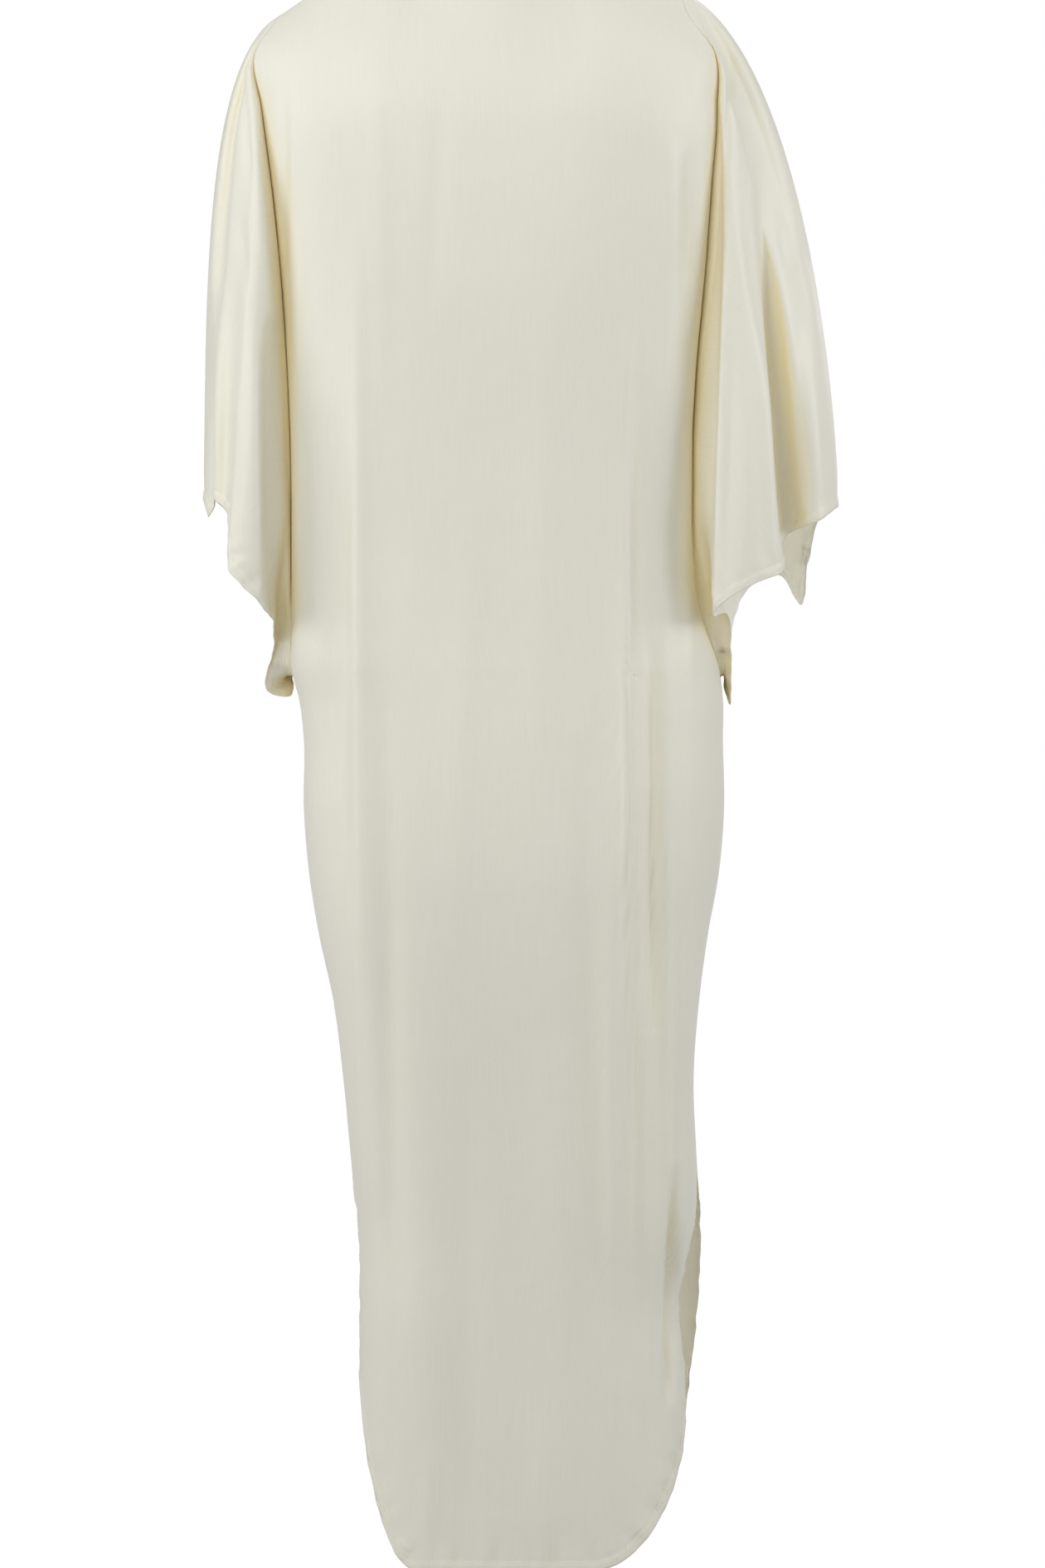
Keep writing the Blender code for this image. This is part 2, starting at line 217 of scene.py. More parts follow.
def unit(vectors: np.ndarray) -> np.ndarray:
    """Bring vectors to a length of one.

    Args:
        vectors: the vectors, along the last axis.

    Returns:
        The same directions with a length of one.
    """
    return vectors / np.maximum(np.linalg.norm(vectors, axis=-1, keepdims=True), SHORTEST)


def normals_of(grid: np.ndarray, outward: np.ndarray, closed: bool = False) -> np.ndarray:
    """Find the unit normals of a grid of points, on its outer side.

    Args:
        grid: points, row by row.
        outward: rough outward directions, one for each point.
        closed: whether each row is a closed ring.

    Returns:
        A unit normal for each point.
    """
    down = np.gradient(grid, axis=0)
    if closed:
        across = (np.roll(grid, -1, axis=1) - np.roll(grid, 1, axis=1)) / 2.0
    else:
        across = np.gradient(grid, axis=1)
    normals = unit(np.cross(down, across))
    if np.mean(np.sum(normals * outward, axis=-1)) < 0.0:
        normals = -normals
    return normals


def distance_to(points: np.ndarray, edge: np.ndarray) -> tuple[np.ndarray, np.ndarray]:
    """Measure how far each point is from an edge, and where along it.

    Args:
        points: the points, in any grid shape.
        edge: the edge's points, in order.

    Returns:
        The distances, and the length along the edge at the nearest point.
    """
    tree = KDTree(len(edge))
    for index, point in enumerate(edge):
        tree.insert(point, index)
    tree.balance()
    run = np.concatenate([[0.0], np.cumsum(np.linalg.norm(np.diff(edge, axis=0), axis=-1))])
    flat = points.reshape(-1, 3)
    found = [tree.find(point) for point in flat]
    far = np.array([hit[2] for hit in found]).reshape(points.shape[:-1])
    place = run[np.array([hit[1] for hit in found])].reshape(points.shape[:-1])
    return far, place


@dataclass(frozen=True)
class Figure:
    """The worn form that every piece follows, from sections down the garment."""

    sections: tuple[Section, ...] = (
        Section(0, -205, 150, 100, 92),
        Section(57, -206, 155, 102, 96),
        Section(92, -226, 178, 106, 104),
        Section(145, -220, 181, 112, 116),
        Section(213, -211, 176, 116, 126),
        Section(280, -204, 171, 116, 130),
        Section(381, -197, 162, 112, 127),
        Section(466, -194, 158, 109, 122),
        Section(540, -194, 159, 109, 118),
        Section(570, -194, 163, 110, 117),
        Section(600, -194, 171, 111, 116),
        Section(640, -194, 184, 113, 114),
        Section(665, -188, 187, 115, 114),
        Section(700, -184, 187, 118, 113),
        Section(760, -184, 188, 122, 112),
        Section(820, -179, 183, 123, 111),
        Section(870, -171, 174, 121, 109),
        Section(930, -158, 166, 118, 106),
        Section(1000, -149, 161, 113, 103),
        Section(1073, -142, 164, 107, 100),
        Section(1140, -135, 167, 102, 98),
        Section(1220, -134, 163, 98, 96),
        Section(1290, -134, 155, 95, 95),
        Section(1360, -132, 153, 93, 95),
        Section(1440, -130, 151, 92, 95),
    )
    roundness: float = 2.9
    underarm_drop: float = 645.0
    armhole_angle: float = math.radians(18.0)
    armhole_curve_drop: float = 440.0
    slit_drop: float = 1100.0
    slit_angle: float = math.radians(6.0)
    slit_ease: float = 220.0
    neck_centre: float = -22.0
    neck_half_width: float = 75.0
    left_shoulder: Shoulder = Shoulder(0.218, 0.0030)
    right_shoulder: Shoulder = Shoulder(0.228, 0.00148)

    def read(self, column: str, drop: np.ndarray) -> np.ndarray:
        """Read one column of the sections at some drops.

        Args:
            column: a field of Section.
            drop: the drops.

        Returns:
            A value for each drop.
        """
        values = [getattr(row, column) for row in self.sections]
        return along([row.drop for row in self.sections], values, drop)

    def stop_angle(self, drop: np.ndarray) -> np.ndarray:
        """Angle that a section stops short of the side, at the armhole and again at the slit.

        Args:
            drop: the drops.

        Returns:
            An angle for each drop.
        """
        reach = self.underarm_drop - self.armhole_curve_drop
        past_curve = np.clip((drop - self.armhole_curve_drop) / reach, 0.0, 1.0)
        armhole = self.armhole_angle * np.sqrt(1.0 - past_curve**2)
        return armhole + self.slit_angle * ease((drop - self.slit_drop) / self.slit_ease)

    def top_drop(self, x: np.ndarray, neck_drop: float) -> np.ndarray:
        """Drop of the neckline or of the shoulder seam over some places across.

        Args:
            x: the places across the garment.
            neck_drop: how low the neckline lies in the middle.

        Returns:
            A drop for each place.
        """
        off = np.abs(x - self.neck_centre)
        neck = neck_drop * np.sqrt(np.clip(1.0 - (off / self.neck_half_width) ** 2, 0.0, 1.0))
        out = np.clip(off - self.neck_half_width, 0.0, None)
        left = self.left_shoulder.pitch * out + self.left_shoulder.bend * out**2
        right = self.right_shoulder.pitch * out + self.right_shoulder.bend * out**2
        return neck + np.where(x < self.neck_centre, left, right)


@dataclass
class Cloth:
    """A grid of cloth: outer points, outward normals and how the grid closes."""

    points: np.ndarray
    normals: np.ndarray
    closed: bool = False

    def raised(self, height: np.ndarray) -> "Cloth":
        """Move each point of the cloth out along its normal.

        Args:
            height: how far, for each point.

        Returns:
            The moved cloth, with new normals.
        """
        points = self.points + self.normals * height[..., None]
        return Cloth(points, normals_of(points, self.normals, self.closed), self.closed)

    def shell(self, name: str, thickness: np.ndarray,
              finishes: Sequence[bpy.types.Material]) -> bpy.types.Object:
        """Build the cloth as one closed thin shell, with a UV map in metres of cloth.

        Args:
            name: the piece's name.
            thickness: the cloth's thickness at each point.
            finishes: the finishes of its outer side and of its inner side.

        Returns:
            The new object.
        """
        rows, columns = self.points.shape[:2]
        inner = self.points - self.normals * thickness[..., None]
        stack = np.concatenate([self.points.reshape(-1, 3), inner.reshape(-1, 3)])
        stack = (stack + np.array([0.0, 0.0, ORIGIN_DROP])) * MM
        numbers = np.arange(rows * columns).reshape(rows, columns)
        if self.closed:
            numbers = np.concatenate([numbers, numbers[:, :1]], axis=1)
        cells = np.stack([numbers[:-1, :-1], numbers[:-1, 1:], numbers[1:, 1:],
                          numbers[1:, :-1]], axis=-1).reshape(-1, 4)
        behind = cells[:, ::-1] + rows * columns
        rims = [self.rim(numbers[0], rows * columns, False),
                self.rim(numbers[-1], rows * columns, True)]
        if not self.closed:
            rims.append(self.rim(numbers[:, 0], rows * columns, True))
            rims.append(self.rim(numbers[:, -1], rows * columns, False))
        faces = np.concatenate([cells, behind, *rims])
        first = self.points[cells[0][[0, 1, 3]] // columns, cells[0][[0, 1, 3]] % columns]
        facing = np.cross(first[1] - first[0], first[2] - first[0])
        if np.dot(facing, self.normals[0, 0]) < 0.0:
            faces = faces[:, ::-1]
        mesh = bpy.data.meshes.new(name)
        mesh.from_pydata(stack.tolist(), [], faces.tolist())
        layer = np.zeros(len(faces), dtype=np.int32)
        layer[len(cells):2 * len(cells)] = 1
        for finish in finishes:
            mesh.materials.append(finish)
        mesh.polygons.foreach_set("material_index", layer)
        self.lay_out(mesh)
        mesh.shade_smooth()
        piece = bpy.data.objects.new(name, mesh)
        bpy.context.scene.collection.objects.link(piece)
        return piece

    @staticmethod
    def rim(line: np.ndarray, offset: int, turned: bool) -> np.ndarray:
        """Make the faces of one cut edge, between the outer and the inner points.

        Args:
            line: numbers of the outer points along the edge.
            offset: what is added to reach the inner points.
            turned: whether the faces run the other way round.

        Returns:
            Four point numbers for each face.
        """
        faces = np.stack([line[1:], line[:-1], line[:-1] + offset, line[1:] + offset], axis=-1)
        return faces[:, ::-1] if turned else faces

    def lay_out(self, mesh: bpy.types.Mesh) -> None:
        """Give a mesh the cloth's own measure as UVs: across and down, in metres.

        Args:
            mesh: the shell's mesh.
        """
        across = np.linalg.norm(np.diff(self.points, axis=1), axis=-1)
        down = np.linalg.norm(np.diff(self.points, axis=0), axis=-1)
        u = np.concatenate([np.zeros((len(self.points), 1)), np.cumsum(across, axis=1)], axis=1)
        u = u - u[:, [u.shape[1] // 2]]
        v = np.concatenate([np.zeros((1, self.points.shape[1])), np.cumsum(down, axis=0)])
        flat = np.stack([u, v], axis=-1).reshape(-1, 2) * MM
        flat = np.concatenate([flat, flat])
        corners = np.zeros(len(mesh.loops), dtype=np.int32)
        mesh.loops.foreach_get("vertex_index", corners)
        layer = mesh.uv_layers.new(name="cloth")
        layer.data.foreach_set("uv", flat[corners].astype(np.float32).ravel())


@dataclass
class Hem:
    """A turned and stitched hem along a cloth's edge, and its stitches' line."""

    width: float = 9.0
    ledge_start: float = 0.8
    ledge_run: float = 1.2
    stitch_inset: float = 1.0
    search_band: float = 4.0
    search_reach: float = 5.0
    depth_weight: float = 0.5
    fold_height: float = 0.6
    groove: float = 0.6
    groove_half_width: float = 1.3
    pucker: float = 1.3
    pucker_reach: float = 13.0
    pucker_lengths: tuple[float, ...] = (17.0, 27.0, 41.0)

    def relief(self, far: np.ndarray, place: np.ndarray) -> np.ndarray:
        """Work out the relief of the turned hem, its groove and its puckers.

        Args:
            far: distance of each point from the edge.
            place: length along the edge, nearest to each point.

        Returns:
            A height for each point.
        """
        past = far - self.width
        turned = self.fold_height * (1.0 - ease((past + self.ledge_start) / self.ledge_run))
        sunk = np.exp(-(((past + self.stitch_inset) / self.groove_half_width) ** 2))
        waves = sum(np.sin(2.0 * math.pi * place / length + index)
                    for index, length in enumerate(self.pucker_lengths))
        near = np.exp(-((past / self.pucker_reach) ** 2))
        puckers = self.pucker * near * waves / len(self.pucker_lengths)
        return turned - self.groove * sunk + puckers

    def stitch_line(self, cloth: Cloth, edge: np.ndarray, far: np.ndarray) -> np.ndarray:
        """Find the points on the cloth along the hem's stitches.

        Args:
            cloth: the cloth with its relief.
            edge: the edge's points, in order.
            far: distance of each of the cloth's points from the edge.

        Returns:
            The stitch line's points, one for each point of the edge that has one.
        """
        inset = self.width - self.stitch_inset
        band = np.abs(far - inset) < self.search_band
        points = cloth.points[band]
        weights = far[band]
        tree = KDTree(len(points))
        for index, point in enumerate(points):
            tree.insert(point, index)
        tree.balance()
        line = []
        for spot in edge:
            near = tree.find_range(spot, inset + self.search_reach)
            if not near:
                continue
            best = min(near, key=lambda hit: (
                abs(weights[hit[1]] - inset) + self.depth_weight * hit[2]))
            line.append(points[best[1]])
        return np.array(line)


def fold_heights(folds: Sequence[Fold], x: np.ndarray, drop: np.ndarray) -> np.ndarray:
    """Add up the heights of some folds.

    Args:
        folds: the folds.
        x: place across of each point.
        drop: drop of each point.

    Returns:
        A height for each point.
    """
    height = np.zeros_like(x)
    for fold in folds:
        share = (drop - fold.from_drop) / (fold.to_drop - fold.from_drop)
        middle = fold.from_x + (fold.to_x - fold.from_x) * np.clip(share, 0.0, 1.0)
        fade = np.sin(math.pi * np.clip(share, 0.0, 1.0)) ** FOLD_FADE
        height += fold.height * fade * np.exp(-(((x - middle) / fold.half_width) ** 2))
    return height


@dataclass
class Panel:
    """The back or the front, from the neck and shoulders down to the hem."""

    side: Side
    cut: Cut
    length: float
    neck_depth: float
    neck_drop: float
    shoulder_round: float
    left_corner: Corner
    right_corner: Corner
    folds: tuple[Fold, ...]
    fine_folds: tuple[Fold, ...]
    neck_softening: float = 45.0
    neck_calm_width: float = 30.0
    calm_steps: int = 4
    neck_power: float = 0.5
    neck_power_gain: float = 1.3
    seam_fade: float = 3.0
    fine_seam_fade: float = 12.0
    column_crowd: float = 1.3
    row_ease: float = 0.55
    slit_swing: float = 0.0
    slit_swing_drop: float = 1195.0
    slit_swing_reach: float = 62.0
    shoulder_columns: int = 30
    neck_columns: int = 76
    armhole_rows: int = 110
    body_rows: int = 136
    hem_rows: int = 9
    hem_reach: float = 18.0
    thickness: float = 0.8

    @property
    def name(self) -> str:
        """Name the piece.

        Returns:
            The shell's name.
        """
        return f"{self.side.name.lower()}_cloth_shell"

    @property
    def node(self) -> str:
        """Name the CAD node that the piece stands for.

        Returns:
            The node's name.
        """
        return f"{self.side.name.lower()}_panel"

    def places(self, figure: Figure) -> np.ndarray:
        """Place the columns across the top edge.

        Args:
            figure: the worn form.

        Returns:
            A place across for each column, rising.
        """
        ends = (figure.neck_centre - figure.neck_half_width,
                figure.neck_centre + figure.neck_half_width)
        share = np.linspace(0.0, 1.0, self.shoulder_columns + 1) ** self.column_crowd
        edges = (figure.sections[0].left, figure.sections[0].right)
        left = edges[0] + share * (ends[0] - edges[0])
        right = edges[1] + share * (ends[1] - edges[1])
        turn = np.linspace(0.0, math.pi, self.neck_columns + 1)
        neck = figure.neck_centre - figure.neck_half_width * np.cos(turn)
        return np.concatenate([left, neck[1:-1], right[::-1]])

    def hem_drop(self, x: np.ndarray, edges: tuple[float, float]) -> np.ndarray:
        """Draw the hem: level in the middle, with a quarter ellipse up to each slit.

        Args:
            x: place across of each column at the hem.
            edges: places of the two side edges.

        Returns:
            The hem's drop at each column.
        """
        into_left = np.clip((edges[0] - x) / self.left_corner.run + 1.0, 0.0, 1.0)
        into_right = np.clip((x - edges[1]) / self.right_corner.run + 1.0, 0.0, 1.0)
        left = self.left_corner.rise * (1.0 - np.sqrt(1.0 - into_left**2))
        right = self.right_corner.rise * (1.0 - np.sqrt(1.0 - into_right**2))
        return self.length - left - right

    def calm_top(self, places: np.ndarray, top: np.ndarray) -> np.ndarray:
        """Even out the drop of the top edge, so that the neck's corners leave no crease below.

        Args:
            places: place across of each column.
            top: drop of the top edge at each column.

        Returns:
            The evened drop at each column.
        """
        grid = np.linspace(places[0], places[-1], self.calm_steps * len(places))
        weights = np.exp(-(((places[:, None] - grid) / self.neck_calm_width) ** 2))
        even = weights @ np.interp(grid, places, top) / weights.sum(axis=1)
        ends = np.minimum(places - places[0], places[-1] - places) / self.neck_calm_width
        return top + (even - top) * np.clip(ends - 0.5, 0.0, 1.0)

    def drops(self, top: np.ndarray, bottom: np.ndarray, underarm: float) -> np.ndarray:
        """Space the rows: eased to the underarm, even below it and close together at the hem.

        Args:
            top: drop of the top edge at each column.
            bottom: drop of the hem at each column.
            underarm: drop of the underarm.

        Returns:
            A drop for each point, row by row.
        """
        step = np.linspace(0.0, 1.0, self.armhole_rows + 1)[:, None]
        eased = 0.5 - 0.5 * np.cos(math.pi * step)
        step = self.row_ease * eased + (1.0 - self.row_ease) * step
        upper = top + (underarm - top) * step
        low = bottom - self.hem_reach
        step = (np.arange(1, self.body_rows + 1) / self.body_rows)[:, None]
        body = underarm + (low - underarm) * step
        step = (np.arange(1, self.hem_rows + 1) / self.hem_rows)[:, None]
        return np.concatenate([upper, body, low + (bottom - low) * step])

    def cloth(self, figure: Figure) -> Cloth:
        """Lay the panel's cloth over the figure, with its folds.

        Args:
            figure: the worn form.

        Returns:
            The cloth, without its hem's relief.
        """
        power = 2.0 / figure.roundness
        places = self.places(figure)
        top = figure.top_drop(places, self.neck_drop)
        run = (places - figure.neck_centre) / figure.neck_half_width

        first = figure.sections[0]
        reach = (places - (first.left + first.right) / 2.0) / ((first.right - first.left) / 2.0)
        reach = reach * math.cos(figure.armhole_angle) ** power
        angle = np.arccos(np.clip(-signed_power(reach, 1.0 / power), -1.0, 1.0))
        share = (angle - figure.armhole_angle) / (math.pi - 2.0 * figure.armhole_angle)

        edges = (float(figure.read("left", np.array(self.length))),
                 float(figure.read("right", np.array(self.length))))
        low = sum(edges) / 2.0 - (edges[1] - edges[0]) / 2.0 * signed_power(
            np.cos(share * math.pi), power)
        drop = self.drops(top, self.hem_drop(low, edges), figure.underarm_drop)

        stop = figure.stop_angle(drop)
        angle = stop + (math.pi - 2.0 * stop) * share
        left = figure.read("left", drop)
        right = figure.read("right", drop)
        swing = (drop - self.slit_swing_drop) / self.slit_swing_reach
        right = right - self.slit_swing * np.exp(-(swing**2))
        half = (right - left) / 2.0 / np.cos(stop) ** power
        x = (left + right) / 2.0 - half * signed_power(np.cos(angle), power)
        depth = figure.read(self.side.name.lower(), drop) * np.sin(angle) ** power
        below = drop - top
        calmer = ease(below / self.neck_softening) * (self.calm_top(places, top) - top)
        into_round = 1.0 - np.clip((below - calmer) / self.shoulder_round, 0.0, 1.0)
        calm = np.clip(below / self.neck_softening, 0.0, 1.0)
        softness = self.neck_power + self.neck_power_gain * calm
        top_depth = self.neck_depth * np.clip(1.0 - run**2, 0.0, 1.0) ** softness
        depth = top_depth + (depth - top_depth) * np.sqrt(1.0 - into_round**2)
        plain = np.stack([x, self.side.value * depth, -drop], axis=-1)

        flat = Cloth(plain, normals_of(plain, plain * (1.0, 1.0, 0.0)))
        fade = np.clip(np.sin(math.pi * share) * self.seam_fade, 0.0, 1.0)
        fine_fade = np.clip(np.sin(math.pi * share) * self.fine_seam_fade, 0.0, 1.0)
        height = fold_heights(self.folds, x, drop) * fade
        return flat.raised(height + fold_heights(self.fine_folds, x, drop) * fine_fade)

    def free_edge(self, cloth: Cloth, figure: Figure) -> np.ndarray:
        """Trace the hemmed edge: down one slit, along the bottom and up the other slit.

        Args:
            cloth: the panel's plain cloth.
            figure: the worn form.

        Returns:
            The edge's points, in order.
        """
        drop = -cloth.points[:, 0, 2]
        start = int(np.argmax(drop > figure.slit_drop))
        return np.concatenate([cloth.points[start:-1, 0], cloth.points[-1],
                               cloth.points[start:-1, -1][::-1]])


@dataclass
class Sleeve:
    """A wide bell sleeve that falls from a deep armhole to a sloping hem."""

    hand: Hand
    cut: Cut
    hem_points: tuple[HemPoint, ...]
    back_folds: tuple[Fold, ...]
    front_folds: tuple[Fold, ...]
    rings: int = 120
    hem_rings: int = 9
    hem_share: float = 0.035
    ring_crowd: float = 1.35
    way_crowd: float = 0.55
    fall: float = 0.95
    flare: float = 12.0
    lift: float = 140.0
    underarm_push: float = 20.0
    side_fade: float = 5.0
    seam_fade: float = 12.0
    thickness: float = 0.8

    @property
    def name(self) -> str:
        """Name the piece.

        Returns:
            The shell's name.
        """
        return f"{self.hand.name.lower()}_sleeve_shell"

    @property
    def node(self) -> str:
        """Name the CAD node that the piece stands for.

        Returns:
            The node's name.
        """
        return f"{self.hand.name.lower()}_sleeve"

    def around(self, column: str, way: np.ndarray) -> np.ndarray:
        """Read one column of the hem table round the closed hem.

        Args:
            column: a field of HemPoint.
            way: places round the hem, from 0 to 1.

        Returns:
            A value for each place.
        """
        ways = [row.way for row in self.hem_points]
        values = [getattr(row, column) for row in self.hem_points]
        ways = [w - 1 for w in ways[-3:]] + ways + [w + 1 for w in ways[:3]]
        return along(ways, values[-3:] + values + values[:3], way)

    def armhole(self, back: Cloth, front: Cloth, rows: int) -> tuple[np.ndarray, np.ndarray]:
        """Trace the armhole seam, and the direction in which the cloth leaves it, once round.

        Args:
            back: the back's cloth.
            front: the front's cloth.
            rows: rows of the panels from the shoulder to the underarm.

        Returns:
            The seam's points, and a unit direction for each.
        """
        edge, beside = (0, 1) if self.hand is Hand.LEFT else (-1, -2)
        sides = []
        for cloth in (back, front):
            line = cloth.points[: rows + 1, edge]
            away = line - cloth.points[: rows + 1, beside]
            out = unit(np.cross(np.gradient(line, axis=0), cloth.normals[: rows + 1, edge]))
            sides.append((line, out * np.sign(np.sum(out * away, axis=-1, keepdims=True))))
        rings = []
        for behind, ahead in zip(sides[0], sides[1]):
            first = (behind[:1] + ahead[:1]) / 2.0
            last = (behind[-1:] + ahead[-1:]) / 2.0
            rings.append(np.concatenate([first, behind[1:-1], last, ahead[-2:0:-1]]))
        return rings[0], unit(rings[1])

    def cloth(self, back: Cloth, front: Cloth, rows: int) -> Cloth:
        """Let the sleeve's cloth fall from the armhole to the hem.

        Args:
            back: the back's cloth.
            front: the front's cloth.
            rows: rows of the panels from the shoulder to the underarm.

        Returns:
            The cloth, without its hem's relief.
        """
        start, out = self.armhole(back, front, rows)
        steps = np.linalg.norm(np.roll(start, -1, axis=0) - start, axis=-1)
        behind = np.concatenate([[0.0], np.cumsum(steps[:rows])])
        ahead = np.cumsum(steps[rows:])
        way = np.concatenate([
            (behind / behind[-1]) ** self.way_crowd * 0.5,
            1.0 - (1.0 - ahead[:-1] / ahead[-1]) ** self.way_crowd * 0.5])
        end = np.stack([self.around("x", way), self.around("y", way),
                        -self.around("drop", way)], axis=-1)
        across = -np.sin(2.0 * math.pi * way)[:, None]
        under = np.clip(-np.cos(2.0 * math.pi * way), 0.0, 1.0)[:, None]
        leave = out * self.around("pull", way)[:, None]
        leave = leave + across * np.array([0.0, self.lift, 0.0])
        leave = leave + under * np.array([self.hand.value * self.underarm_push, 0.0, 0.0])
        fall = self.fall * (start[:, 2:] - end[:, 2:])
        arrive = np.concatenate(
            [np.full_like(fall, self.hand.value * self.flare), 0.0 * fall, -fall], axis=1)

        body = np.linspace(0.0, 1.0, self.rings + 1) ** self.ring_crowd * (1.0 - self.hem_share)
        hem = 1.0 - self.hem_share * (1.0 - np.arange(1, self.hem_rings + 1) / self.hem_rings)
        t = np.concatenate([body, hem])[:, None, None]
        points = (1 + 2 * t) * (1 - t) ** 2 * start + t * (1 - t) ** 2 * leave
        points = points + t * t * (3 - 2 * t) * end + t * t * (t - 1) * arrive
        outward = points - points.mean(axis=1, keepdims=True)
        plain = Cloth(points, normals_of(points, outward, closed=True), closed=True)
        turn = np.sin(2.0 * math.pi * way)
        behind = np.clip(turn * self.side_fade, 0.0, 1.0) * fold_heights(
            self.back_folds, points[..., 0], -points[..., 2])
        ahead = np.clip(-turn * self.side_fade, 0.0, 1.0) * fold_heights(
            self.front_folds, points[..., 0], -points[..., 2])
        return plain.raised((behind + ahead) * np.clip(t[..., 0] * self.seam_fade, 0.0, 1.0))


@dataclass
class NeckBinding:
    """A narrow bias strip folded over the raw neck edge."""

    name: str = "neck_binding_strip"
    node: str = "neck_binding"
    cut: Cut = Cut(0.47, 0.01, 0.0045)
    height: float = 8.0
    thickness: float = 1.6
    bulge: float = 0.5
    rings: int = 12

    def cloth(self, back: Cloth, front: Cloth, panel: Panel) -> Cloth:
        """Stand the strip on the neckline of both panels.

        Args:
            back: the back's cloth.
            front: the front's cloth.
            panel: either panel, for its columns.

        Returns:
            The strip's cloth.
        """
        neck = slice(panel.shoulder_columns, panel.shoulder_columns + panel.neck_columns + 1)
        behind = back.points[0, neck]
        ahead = front.points[0, neck]
        base = np.concatenate([behind, ahead[-2:0:-1]])
        middle = base.mean(axis=0)
        outward = unit((base - middle) * (1.0, 1.0, 0.0))
        share = np.linspace(0.0, 1.0, self.rings + 1)[:, None, None]
        swell = self.bulge * np.sin(math.pi * share)
        points = base + share * np.array([0.0, 0.0, self.height]) + outward * swell
        return Cloth(points, np.broadcast_to(outward, points.shape).copy(), closed=True)


def add_node(tree: bpy.types.NodeTree, kind: str, settings: dict | None = None,
             links: dict | None = None) -> bpy.types.Node:
    """Add one node with its settings and links.

    Args:
        tree: the node tree.
        kind: the node's type name.
        settings: attribute or input names, or input numbers, with their values.
        links: input names or numbers, with the sockets that feed them.

    Returns:
        The new node.
    """
    node = tree.nodes.new(kind)
    for key, value in (settings or {}).items():
        if isinstance(key, str) and hasattr(node, key):
            setattr(node, key, value)
        else:
            node.inputs[key].default_value = value
    for key, socket in (links or {}).items():
        tree.links.new(socket, node.inputs[key])
    return node


